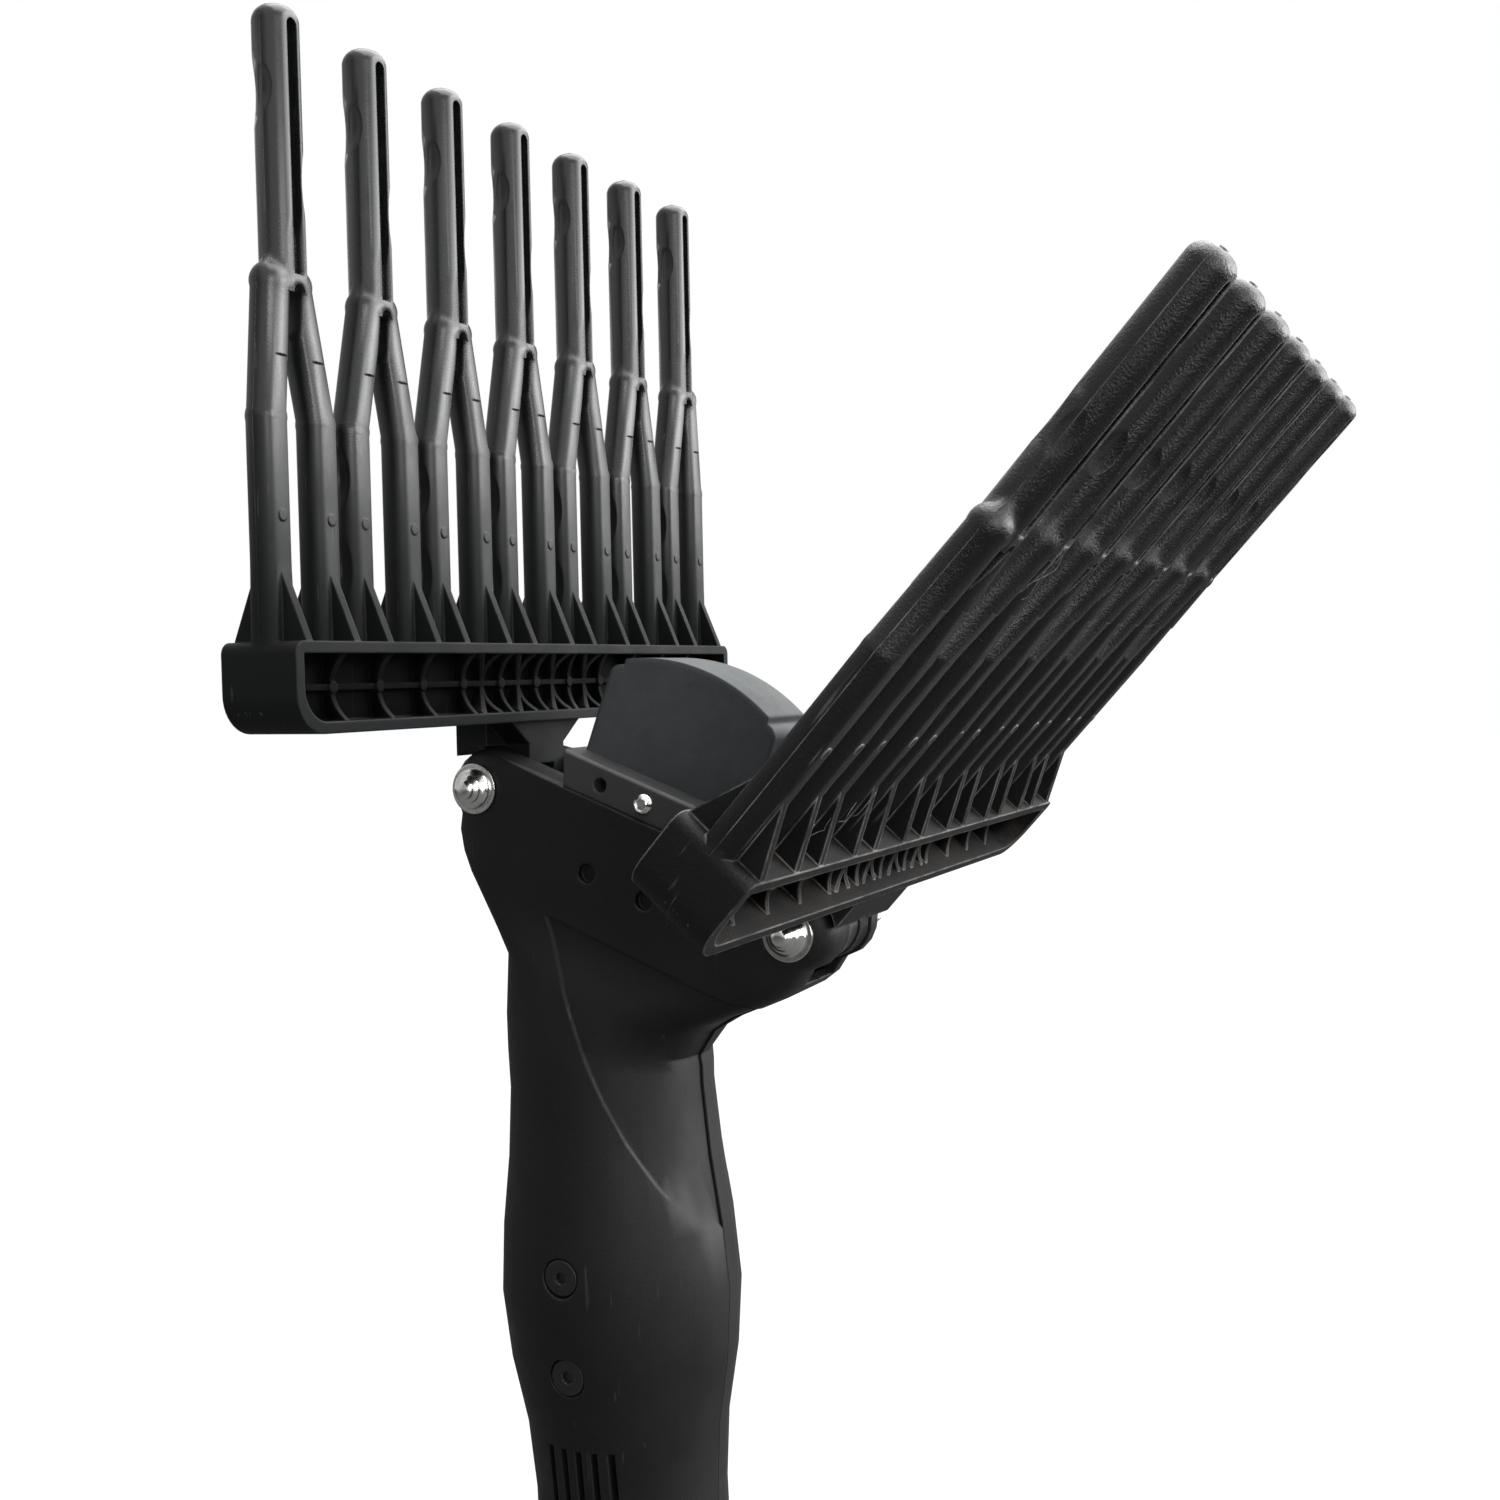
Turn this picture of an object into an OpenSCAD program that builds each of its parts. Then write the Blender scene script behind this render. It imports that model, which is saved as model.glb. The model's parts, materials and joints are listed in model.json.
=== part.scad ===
// Electric olive harvester head: two clapping combs on a bent handle
// Frame: millimetres, +Z up along the pole, origin at the mouth of the pole socket
// The combs face each other across X and their bars run in depth, along Y

/* [Combs] */
// distance between neighbouring fingers
finger_pitch = 28; // [26:0.5:32]
// fingers on each comb
finger_count = 7; // [5:1:9]
// thickness of the upper single finger
tip_d = 9.4; // [8:0.1:10.5]
// thickness of each of the two legs under a finger
leg_d = 8; // [7:0.1:8.6]
// distance between the two legs of one finger
leg_spread = 17; // [15:0.1:17.6]
// how far the straight outer leg stands outside its finger
end_leg = 6.4; // [5:0.1:6.6]
// height of the finger end above the pivot
tip_height = 161; // [140:1:180]
// height of the fork above the pivot
fork_height = 106; // [100:1:115]
// height at which the legs bend towards each other
bend_height = 79; // [72:1:84]
// width of the channel in fingers and legs
channel_w = 3; // [2:0.1:3.6]
// web left between the two channels
web_t = 2.4; // [1.8:0.1:3]
// lower edge of the bar above the pivot
bar_bottom = 15.8; // [15:0.1:18]
// height of the bar
bar_height = 18.6; // [16:0.1:22]
// thickness of the bar from face to face
bar_depth = 19; // [16:0.1:22]
// wall of the bar and its end caps
bar_wall = 2.4; // [2:0.1:3]
// thickness of the curved ribs in the bar
rib_t = 1.3; // [1:0.1:1.8]
// offset of the comb towards the middle of the head
comb_in = 2.6; // [1:0.1:4]

/* [Head] */
// half of the distance between the two pivots
pivot_half = 43.6; // [41:0.2:46]
// opening angle of each comb in the rest pose
comb_open = 21; // [18:0.5:23]
// sideways lean of the head on the handle
head_lean = 22.7; // [19:0.1:25]
// sideways distance from the pole axis to the pivot middle
head_x = 17; // [15:0.5:19]
// height of the pivot line over the socket mouth
head_z = 240; // [236:1:248]
// half depth of the head casing
head_half = 19; // [18:0.2:21]
// upper edge of the head casing over the pivot line
head_top = 9.5; // [9:0.1:11]
// radius of the rounded ears
ear_r = 9.5; // [9:0.1:10.5]
// half depth of the gap between the ears
ear_gap = 8; // [7.6:0.1:9]

/* [Handle] */
// handle radius under the head
neck_r = 24.8; // [24.4:0.1:27]
// handle radius at the bulge
bulge_r = 29.2; // [28:0.1:31]
// handle radius at the lower end
tail_r = 23.4; // [22.8:0.1:25]
// wall of the casing
wall = 2.8; // [2.4:0.1:3.2]
// cooling slots on each face
vent_count = 5; // [3:1:5]
// width of a cooling slot
vent_w = 1.7; // [1.2:0.1:2]
// length of a cooling slot
vent_len = 26; // [18:1:30]

/* [Pole socket] */
// radius of the pole that enters the socket
pole_r = 15; // [12:0.25:15.5]
// wall of the socket tube
socket_wall = 2.6; // [2:0.1:3]
// depth of the socket
socket_depth = 38; // [30:1:42]

/* [Drive] */
// throw of the crank
crank_throw = 4.37; // [4:0.01:4.5]
// teeth of the crown gear
crown_teeth = 30; // [30:1:30]
// teeth of the pinion
pinion_teeth = 12; // [12:1:12]
// radius of the pivot bush
bush_r = 5; // [4.5:0.1:5.5]
// radius of the pivot bolt
bolt_r = 3; // [2.5:0.1:3.2]
// distance of the drive pins from the head middle
drive_pin_x = 16; // [14:0.5:18]

/* [Bumper] */
// half width of the rubber bumper
bumper_half = 22.5; // [20:0.5:24]
// height of the bumper top over the pivot line
bumper_top = 46; // [40:0.5:50]
// depth of the bumper
bumper_depth = 20; // [16:0.5:22]

/* [Hidden] */
fine = 48;
soft = 32;
eps = 0.01;
gap = 0.3;
run = 0.06;
far = 300;

// comb
bar_top = bar_bottom + bar_height;
bar_len = (finger_count - 1) * finger_pitch + 22;
bar_mid = bar_bottom + bar_height / 2;
bar_corner = 8;
bar_lip = 3.2;
mid_finger = (finger_count - 1) / 2;
channel_top = tip_height - 3;
leg_flat = 3.4;
tip_flat = 4.2;
scoop_r = 34;
scoop_deep = 0.9;
scoop_turn = 38;
scoop_tip = tip_height - 17;
scoop_back = fork_height + 20;
scoop_leg = [bar_top + 15.5, bar_top + 34];
tip_round = 3.4;
nub_r = 0.9;
nub_up = 0.35;
nub_sink = 0.5;
mark_r = 1.2;
mark_v = bar_top + 25;
shoulder_h = 6.5;
shoulder_in = 0.6;
leg_top_y = 2.4;
end_top_y = 4;
arch_w = 3.4;
arch_top = fork_height - 0.3;
channel_low = fork_height + 1.6;
foot_h = 25;
foot_d = 0.8;
bar_round = 2.5;
joint_d = 0.25;
gusset_h = 15;
gusset_t = 2;
gusset_x = bar_depth / 2 - 0.4;
knob_r = 1.3;
knob_up = 0.5;
rib_pairs = 5;
rib_pitch = bar_len / 2 * 0.162;
rib_arc = bar_height * 1.5;
star_arc = bar_height * 0.44;
rib_hollow = 3;
hollow_r = 9;
hub_r = 8.5;
hub_half = ear_gap - gap;
arm_t = 13;
arm_back = -4.2;
block_back = -6.7;
block_front = 2;
block_half = 16;
block_low = 3;
arm_wide = 17;
arm_low = ear_r + 0.7;
lever_t = 6;
lever_half = lever_t / 2;
key_top = 9;
slot_top = 5.2;
key_x = 3;
key_drop = 2.5;
key_half = 5;
lever_below = 5.2;
lever_above = 4.6;
lever_nose = 7;
slot_half = 3;
slot_play = 0.1;

// head
lean_s = sin(head_lean);
lean_c = cos(head_lean);
crank_drop = head_x / lean_s;
crank_z = head_z - crank_drop * lean_c;
seat_y = head_half - 0.8;
inner_half = head_half - wall;
front_hole_x = 8;
front_hole_drop = 7.1;
front_hole_r = 2.3;
guide_t = 3;
guide_low = -33;
guide_high = -17;
side_open = 27;

// handle heights, measured down from the pivot line
neck_z = head_z - 54;
bulge_z = head_z - 106;
tail_z = head_z - 152;
screw_high = head_z - 96;
screw_low = head_z - 119.5;
rib_h = 10;
vent_top = head_z - 138;
base_z = 4;

// drive
swing_mid = 7;
slot_drop = 6;
lever_len = pivot_half - drive_pin_x;
pin_r = 2.5;
pin_z = lever_len * tan(swing_mid) - slot_drop / cos(swing_mid);
pin_z_mid = -slot_drop;
lift = pin_z - pin_z_mid;
crank_angle = asin(min(lift / crank_throw, 1));
stem_half = 8;
crank_pin_r = 3;
disc_front = 1;
disc_back = 5;
disc_r = 11;
crank_shaft_r = 4;
crank_bearing_r = 8;
tooth_module = 1;
pinion_r = pinion_teeth * tooth_module / 2;
crown_r = crown_teeth * tooth_module / 2;
face_half = 1.2;
tooth_up = 0.8;
tooth_down = 1.1;
// the yoke slides in front of the pinion's teeth
cross_back = -(pinion_r + tooth_up + gap);
cross_t = 4;
yoke_end = 5;
yoke_side = 3.5;
yoke_low = 8;
yoke_high = 4.5;
yoke_play = 0.1;
cross_front = cross_back - cross_t;
tooth_w = 0.95;
tooth_tip = 0.6;
flat_h = 18;
corner_h = 22;
oval_low = 2.3;
oval_high = 7;
shaft_r = 3;
shaft_bite = 6;
motor_bite = 7;
cap_h = 6;
cap_in = 0.5;
fan_hub_r = 5;
fan_plate = 1.2;
fan_blades = 8;
blade_t = 1.2;
prong_x = 2.2;
prong_r = 1;
prong_h = 6;
inlet_rim = 2;
inlet_nut = 3;
tooth_root = 0.3;
tooth_foot = 0.15;
screw_short = 0.4;
gear_r = 22;
gear_top = screw_high + 9;
gear_low = screw_low - 8;
motor_r = 18.5;
motor_len = 46;
motor_low = gear_low - motor_len;
motor_shaft_r = 2;
fan_h = 5;
fan_r = 15;
fan_top = motor_low - 2;
shaft_bearing_r = 9;
shaft_bearing_z = crank_z - 32;
shaft_bearing_h = 6;

// pole socket
socket_r = pole_r + socket_wall;
socket_top = base_z + socket_depth;
floor_t = 4;
inlet_r = 6;
flange_r = tail_r - 0.5;
socket_screw_z = 24;
socket_seat = tail_r - 2.6;

// fasteners
head_bolt_r = 4.9;
head_bolt_h = 4.6;
bolt_steps = [[0, 0], [1, 0], [1, 0.1], [0.93, 0.26], [0.76, 0.42], [0.68, 0.46], [0.67, 0.56],
    [0.55, 0.68], [0.47, 0.72], [0.46, 0.86], [0.34, 0.97], [0.2, 1], [0, 1]];
washer_r = 6;
washer_t = 1;
nut_r = 5.7;
nut_h = 5;
small_r = 1.5;
small_head = 2.8;
small_dome = 1.8;
case_r = 2;
case_head = 3.9;
case_dome = 2.2;
screw_bite = 8;
case_bore = 4.6;
case_boss = case_bore + 1;
hex_ratio = 0.55;
screw_z = [crank_z - 22, gear_top + 9, socket_top + floor_t + 7];

// bumper
bracket_half = bumper_half + 1.5;
bracket_top = 17.8;
bracket_t = 2.4;
bracket_bevel = 1;
bracket_hole_r = 1.7;
bracket_front = head_half - 1;
bumper_front = bumper_depth / 2;
bumper_rise = 6;
bumper_edge = 3;
bracket_screw_z = 13.3;
bracket_hole_x = 12;

// frames
module head_frame() translate([head_x, 0, head_z]) rotate([0, head_lean, 0]) children();
module left_frame() head_frame() translate([-pivot_half, 0, 0]) rotate([0, -comb_open, 0]) children();
module right_frame() head_frame() translate([pivot_half, 0, 0]) rotate([0, comb_open, 0])
    rotate([0, 0, 180]) children();
module rod_y(r, y0, y1, f = fine)
    translate([0, y0, 0]) rotate([-90, 0, 0]) cylinder(r = r, h = y1 - y0, $fn = f);
module ball(d) rotate_extrude($fn = soft) intersection() {
    circle(d = d, $fn = soft);
    translate([0, -d]) square([d, 2 * d]);
}
module box(x0, x1, y0, y1, z0, z1) translate([x0, y0, z0]) cube([x1 - x0, y1 - y0, z1 - z0]);

// finger with its forked legs
function leg_y(i, side) =
    i == 0 && side < 0 ? -end_leg :
    i == finger_count - 1 && side > 0 ? end_leg : side * leg_spread / 2;
function outer_leg(i, side) = side * (i - mid_finger) == mid_finger;
function leg_top(i, side) = side * (outer_leg(i, side) ? end_top_y : leg_top_y);
function leg_slant(i, side) = atan2(leg_y(i, side) - leg_top(i, side), fork_height - bend_height);
module slanted(i, side)
    translate([0, leg_y(i, side), bend_height]) rotate([leg_slant(i, side), 0, 0]) children();
function slant_len(i, side) = (fork_height - bend_height) / cos(leg_slant(i, side));

module leg(i, side) {
    translate([0, leg_y(i, side), bar_top - 1])
        cylinder(d = leg_d, h = bend_height - bar_top + 1, $fn = soft);
    translate([0, leg_y(i, side), bend_height]) ball(leg_d + joint_d);
    slanted(i, side) cylinder(d = leg_d - joint_d, h = slant_len(i, side), $fn = soft);
    // the outer leg widens towards the end of the bar
    if (outer_leg(i, side)) translate([0, leg_y(i, side), bar_top - bar_round])
        cylinder(d1 = leg_d + foot_d, d2 = leg_d - joint_d, h = foot_h, $fn = soft);
}
// top of a leg, drawn in to the finger above it
module shoulder(i, side) translate([0, leg_top(i, side), fork_height]) {
    ball(leg_d + joint_d);
    cylinder(d1 = leg_d, d2 = tip_d - 2 * abs(leg_top(i, side)) - shoulder_in, h = shoulder_h, $fn = soft);
}
// hollow cut by a large roller against the side of a leg or finger
module scoop(y, v, d, turn) translate([0, y, v]) rotate([0, 0, turn])
    translate([-scoop_r, -d / 2 - scoop_r + scoop_deep, 0]) rotate([0, 90, 0])
        cylinder(r = scoop_r, h = 2 * scoop_r, $fn = fine);
// flattened dome of a finger
module tip_cap() rotate_extrude($fn = soft) intersection() {
    union() {
        translate([tip_d / 2 - tip_round, 0]) circle(r = tip_round, $fn = soft);
        translate([0, -tip_round]) square([tip_d / 2 - tip_round, 2 * tip_round]);
    }
    translate([0, -tip_round / 2]) square([tip_d, 2 * tip_round]);
}
module finger(i) {
    difference() {
        union() {
            translate([0, 0, fork_height - 2])
                cylinder(d = tip_d, h = tip_height - fork_height + 2 - tip_round, $fn = soft);
            translate([0, 0, tip_height - tip_round]) tip_cap();
            translate([0, 0, tip_height - nub_sink]) cylinder(r = nub_r, h = nub_sink + nub_up, $fn = soft);
            for (side = [-1, 1]) {
                leg(i, side);
                shoulder(i, side);
            }
        }
        // flat faces and the channel of the finger
        for (face = [0, 180]) rotate([0, 0, face]) {
            box(leg_flat, tip_d, -finger_pitch, finger_pitch, bar_top - 2, bend_height + 12);
            box(tip_flat, tip_d, -tip_d, tip_d, bend_height + 11, tip_height + 1);
            box(web_t / 2, tip_d, -channel_w / 2, channel_w / 2, channel_low, channel_top - channel_w / 2);
            translate([web_t / 2, 0, channel_top - channel_w / 2]) rotate([0, 90, 0])
                cylinder(d = channel_w, h = tip_d, $fn = soft);
        }
        // arch where the legs part
        box(-tip_d, tip_d, -arch_w / 2, arch_w / 2, bend_height, arch_top - arch_w / 2);
        translate([-tip_d, 0, arch_top - arch_w / 2]) rotate([0, 90, 0])
            cylinder(d = arch_w, h = 2 * tip_d, $fn = soft);
        scoop(0, scoop_tip, tip_d, -scoop_turn);
        scoop(0, scoop_back, tip_d, 180 - scoop_turn);
        if (i > 0) for (v = scoop_leg) scoop(leg_y(i, -1), v, leg_d, -scoop_turn);
    }
    for (side = [-1, 1]) {
        translate([0, leg_y(i, side) + gusset_t / 2, bar_top - 1])
            rotate([90, 0, 0]) linear_extrude(gusset_t)
            polygon([[-gusset_x, 0], [gusset_x, 0], [gusset_x, 1.2], [leg_flat - 0.1, gusset_h],
                [0.1 - leg_flat, gusset_h], [-gusset_x, 1.2]]);
        for (face = [-1, 1]) translate([0, leg_y(i, side), mark_v]) rotate([0, face * 90, 0])
            cylinder(r = mark_r, h = leg_flat + 0.25, $fn = soft);
    }
}

// outline of the bar, drawn in by an inset
module bar_outline(inset, x0, x1) {
    half = bar_len / 2 - inset;
    low = bar_bottom + inset;
    high = bar_top - inset;
    round_r = bar_corner - inset / 2;
    top_r = max(bar_round - inset, 0.4);
    box(x0, x1, -half, half, low + round_r, high - top_r);
    box(x0, x1, -half + round_r, half - round_r, low, low + round_r + eps);
    box(x0, x1, -half + top_r, half - top_r, high - top_r - eps, high);
    for (side = [-1, 1]) {
        translate([x0, side * (half - round_r), low + round_r]) rotate([0, 90, 0])
            cylinder(r = round_r, h = x1 - x0, $fn = fine);
        translate([x0, side * (half - top_r), high - top_r]) rotate([0, 90, 0])
            cylinder(r = top_r, h = x1 - x0, $fn = fine);
    }
}

// curved rib: a slice of a tube lying across the bar
module arc_rib(y, turn, arc_r, x0, x1) intersection() {
    translate([x0, y + turn * arc_r, bar_mid]) rotate([0, 90, 0]) difference() {
        cylinder(r = arc_r + rib_t / 2, h = x1 - x0, $fn = fine);
        translate([0, 0, -1]) cylinder(r = arc_r - rib_t / 2, h = x1 - x0 + 2, $fn = fine);
    }
    box(-far, far, y - arc_r / 2, y + arc_r / 2, bar_bottom, bar_top);
}
module rib_set(rib_x) {
    box(-rib_x, rib_x, -bar_len / 2, bar_len / 2, bar_mid - rib_t / 2, bar_mid + rib_t / 2);
    for (k = [-rib_pairs:rib_pairs])
        arc_rib(k * rib_pitch, k > 0 ? -1 : 1, rib_arc, -rib_x, rib_x);
    for (k = [-1.5:1:1.5], turn = [-1, 1])
        arc_rib(k * rib_pitch, turn, star_arc, -rib_x, rib_x);
}
module bar() {
    rib_x = bar_depth / 2 - bar_lip;
    knob_x = rib_x - rib_hollow + knob_up;
    difference() {
        bar_outline(0, -bar_depth / 2, bar_depth / 2);
        for (face = [-1, 1]) bar_outline(bar_wall, min(face * web_t / 2, face * bar_depth),
            max(face * web_t / 2, face * bar_depth));
    }
    intersection() {
        bar_outline(bar_wall - eps, -rib_x, rib_x);
        union() {
            difference() {
                rib_set(rib_x);
                // the ribs are hollowed between the lips
                for (face = [-1, 1]) translate([face * (rib_x - rib_hollow + hollow_r), 0, bar_mid])
                    rod_y(hollow_r, -far, far);
            }
            for (k = [-rib_pairs:rib_pairs]) translate([-knob_x, k * rib_pitch, bar_mid])
                rotate([0, 90, 0]) cylinder(r = knob_r, h = 2 * knob_x, $fn = soft);
        }
    }
}

// arm that narrows from the bar to the pivot hub, with a block over the ears
module arm() {
    translate([arm_back, 0, 0]) rotate([90, 0, 90]) linear_extrude(arm_t)
        polygon([[-hub_half, 0], [hub_half, 0], [hub_half, arm_low], [arm_wide, bar_bottom + 1],
            [-arm_wide, bar_bottom + 1], [-hub_half, arm_low]]);
    difference() {
        box(block_back, block_front, -block_half, block_half, block_low, bar_bottom + 1);
        rod_y(arm_low, -far, far);
    }
    rod_y(hub_r, -hub_half, hub_half);
}

module comb() difference() {
    union() {
        translate([comb_in, 0, 0]) {
            for (i = [0:finger_count - 1]) translate([0, (i - mid_finger) * finger_pitch, 0]) finger(i);
            bar();
        }
        arm();
    }
    rod_y(bush_r + run, -far, far);
    box(-hub_r - 1, hub_r + 4, -lever_half - eps, lever_half + eps, -hub_r - 1, slot_top);
    box(-hub_r - 1, comb_in / 2 + key_half + eps, -lever_half - eps, lever_half + eps, 0, key_top);
    for (side = [-1, 1]) translate([comb_in / 2 + side * key_x, 0, key_top - key_drop])
        rod_y(small_r, -hub_half + 2, hub_half - 2);
}

module left_comb() color([0.13, 0.13, 0.14]) left_frame() comb();
module right_comb() color([0.13, 0.13, 0.14]) right_frame() comb();

// lever keyed into the comb hub, with the slot for the drive pin; drawn for the left side
module key_holes() for (side = [-1, 1])
    translate([comb_in / 2 + side * key_x, key_top - key_drop]) circle(r = small_r, $fn = soft);
module lever_outline() difference() {
    union() {
        circle(r = hub_r - 0.5, $fn = fine);
        rotate(swing_mid) translate([0, -slot_drop - lever_below])
            square([lever_len + lever_nose, lever_below + lever_above]);
        rotate(comb_open) translate([comb_in / 2 - key_half, 0]) square([2 * key_half, key_top - 0.2]);
    }
    circle(r = bush_r + run, $fn = fine);
    rotate(swing_mid) translate([lever_len, -slot_drop]) {
        translate([-slot_half, -pin_r - slot_play]) square([2 * slot_half, 2 * (pin_r + slot_play)]);
        for (side = [-1, 1]) translate([side * slot_half, 0]) circle(r = pin_r + slot_play, $fn = fine);
    }
    rotate(comb_open) key_holes();
}
module lever() translate([0, lever_half, 0]) rotate([90, 0, 0]) linear_extrude(lever_t) lever_outline();
module left_lever() color([0.62, 0.63, 0.65]) head_frame() translate([-pivot_half, 0, 0]) lever();
module right_lever() color([0.62, 0.63, 0.65]) head_frame()
    translate([pivot_half, 0, 0]) rotate([0, 0, 180]) lever();
module key_pins() for (side = [-1, 1]) translate([comb_in / 2 + side * 3, 0, key_top - 2.5])
    rod_y(small_r, -hub_half + 2, hub_half - 2);
module left_key_pins() color([0.7, 0.7, 0.72]) left_frame() key_pins();
module right_key_pins() color([0.7, 0.7, 0.72]) right_frame() key_pins();

// casing: rounded sections laid along the handle and turned into the head
// each station: centre x, centre z, lean, half width, half depth, squareness
function mix(a, b, t) = a + (b - a) * t;
function ease(t) = (1 - cos(180 * t)) / 2;
function handle_r(z) =
    z > neck_z ? neck_r :
    z > bulge_z ? mix(bulge_r, neck_r, ease((z - bulge_z) / (neck_z - bulge_z))) :
    z > tail_z ? mix(tail_r, bulge_r, ease((z - tail_z) / (bulge_z - tail_z))) : tail_r;
function ear_half(z) = pivot_half + sqrt(max(ear_r * ear_r - z * z, ear_tip * ear_tip));
// half width of the head, from the ears down to the neck
ear_tip = 2.2;
neck_h = -40;
side_h = -8;
function head_half_w(h) = h > side_h ? ear_half(h) :
    mix(neck_r + 1.2, ear_half(side_h), ease((h - neck_h) / (side_h - neck_h)));
function head_station(h) = [head_x + h * lean_s, head_z + h * lean_c, head_lean, head_half_w(h),
    mix(neck_r - 2, head_half, ease(min(1, (h - neck_h) / flat_h))),
    mix(oval_low, oval_high, ease(min(1, (h - neck_h) / corner_h)))];
function handle_station(z) = [0, z, 0, handle_r(z), handle_r(z), 2];
function bend_station(t) = [0, mix(neck_z, crank_z + 1.5, t), mix(0, head_lean, t * 0.8),
    mix(neck_r, neck_r + 0.5, t), mix(neck_r, neck_r - 1.6, t), mix(2, 2.25, t)];
handle_steps = 11;
handle_end = neck_z - 2;
stations = concat(
    [for (k = [0:handle_steps]) handle_station(mix(base_z, handle_end, k / handle_steps))],
    [for (t = [0.35, 0.75]) bend_station(t)],
    [for (h = [-35, -30, -25, -20, -16, -12, -8, -5, -2, 1, 4, 6.6, 8.4]) head_station(h)],
    [head_station(head_top)]);
ring_n = 32;
function ring_point(st, a, inset) = let(
    w = st[3] - inset,
    d = st[4] - inset,
    c = cos(a),
    s = sin(a),
    u = w * sign(c) * pow(abs(c), 2 / st[5]),
    v = d * sign(s) * pow(abs(s), 2 / st[5]))
    [st[0] + u * cos(st[2]), v, st[1] - u * sin(st[2])];
module skin(list, inset) {
    n = len(list);
    points = [for (st = list, k = [0:ring_n - 1]) ring_point(st, 360 * k / ring_n, inset)];
    sides = [for (j = [0:n - 2], k = [0:ring_n - 1], half = [0, 1]) let(
        a = j * ring_n + k,
        b = j * ring_n + (k + 1) % ring_n)
        half == 0 ? [a, a + ring_n, b] : [b, a + ring_n, b + ring_n]];
    low = [[for (k = [0:ring_n - 1]) k]];
    high = [[for (k = [ring_n - 1:-1:0]) (n - 1) * ring_n + k]];
    polyhedron(points = points, faces = concat(low, sides, high), convexity = 8);
}
function lift_top(list) = [for (k = [0:len(list) - 3]) list[k]];
module casing() difference() {
    skin(stations, 0);
    skin(concat([handle_station(base_z - 1)], lift_top(stations)), wall);
}

// half of the casing on one side of the parting plane; side -1 is the front
module case_half(side) {
    y0 = side < 0 ? -far : 0;
    y1 = side < 0 ? 0 : far;
    difference() {
        union() {
            intersection() {
                casing();
                box(-far, far, y0, y1, -far, 2 * far);
            }
            intersection() {
                skin(stations, 0.4);
                union() {
                    head_frame() for (x = [-pivot_half, pivot_half]) translate([x, 0, 0])
                        rod_y(ear_r - 0.3, side < 0 ? -seat_y : ear_gap, side < 0 ? -ear_gap : seat_y);
                    for (z = screw_z, x = [-1, 1]) translate([x * screw_x(z), 0, z])
                        rod_y(case_boss, side < 0 ? -far : 0, side < 0 ? 0 : far);
                    difference() {
                        union() {
                            translate([0, 0, shaft_bearing_z])
                                cylinder(r = far, h = shaft_bearing_h, $fn = fine);
                            translate([0, 0, gear_top + gap]) cylinder(r = far, h = wall, $fn = fine);
                            for (z = [screw_low, screw_high]) translate([0, 0, z - rib_h / 2])
                                cylinder(r = far, h = rib_h, $fn = fine);
                            translate([0, 0, base_z])
                                cylinder(r = far, h = socket_depth + floor_t, $fn = fine);
                        }
                        box(-far, far, side < 0 ? 0 : -far, side < 0 ? far : 0, 0, 2 * far);
                    }
                }
            }
        }
        // seats for the inner pieces
        translate([0, 0, shaft_bearing_z - eps])
            cylinder(r = shaft_bearing_r, h = shaft_bearing_h + 2 * eps, $fn = fine);
        translate([0, 0, gear_low]) cylinder(r = gear_r, h = gear_top - gear_low, $fn = fine);
        translate([0, 0, gear_top - eps]) cylinder(r = gear_r - 6, h = wall + 1, $fn = fine);
        translate([0, 0, motor_low]) cylinder(r = motor_r + gap, h = motor_len, $fn = fine);
        translate([0, 0, base_z - 1]) cylinder(r = socket_r, h = socket_depth + floor_t + 2, $fn = fine);
        // room for hubs and arms between the ears
        head_frame() for (s = [-1, 1])
            box(min(s * side_open, s * far), max(s * side_open, s * far), -ear_gap, ear_gap, -hub_r - 4, far);
        // bolts
        head_frame() for (x = [-pivot_half, pivot_half]) translate([x, 0, 0]) rod_y(bolt_r, -far, far);
        head_frame() for (x = [-pivot_half, pivot_half]) translate([x, 0, 0])
            rod_y(washer_r + 0.5, side < 0 ? -far : seat_y, side < 0 ? -seat_y : far);
        // cooling slots
        for (k = [0:vent_count - 1])
            translate([(k - (vent_count - 1) / 2) * vent_w * 2.4, 0, vent_top - vent_len])
            box(-vent_w / 2, vent_w / 2, side < 0 ? -far : 5, side < 0 ? -5 : far, 0, vent_len);
        // case screws
        for (z = screw_z, x = [-1, 1]) translate([x * screw_x(z), 0, z]) {
            rod_y(case_r, side < 0 ? -9 : -1, far);
            if (side > 0) rod_y(case_bore, screw_back(z), far);
        }
        translate([0, 0, socket_screw_z]) {
            rod_y(case_r, side < 0 ? -far : 0, side < 0 ? 0 : far);
            rod_y(case_bore, side < 0 ? -far : socket_seat, side < 0 ? -socket_seat : far);
        }
        if (side < 0) {
            for (z = [screw_high, screw_low]) translate([0, 0, z]) {
                rod_y(case_r, -far, 0);
                rod_y(case_bore, -far, -gear_seat(z));
            }
            head_frame() for (x = [-front_hole_x, front_hole_x]) translate([x, 0, -front_hole_drop])
                rod_y(front_hole_r, -far, -inner_half - 1);
            head_frame() translate([0, 0, bracket_screw_z]) rod_y(small_r, -far, 0);
        }
    }
}
function screw_x(z) = handle_r(z) - wall - 4.6;
function screw_back(z) = handle_r(z) * 0.42;
function gear_seat(z) = handle_r(z) - 2.6;
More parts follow.
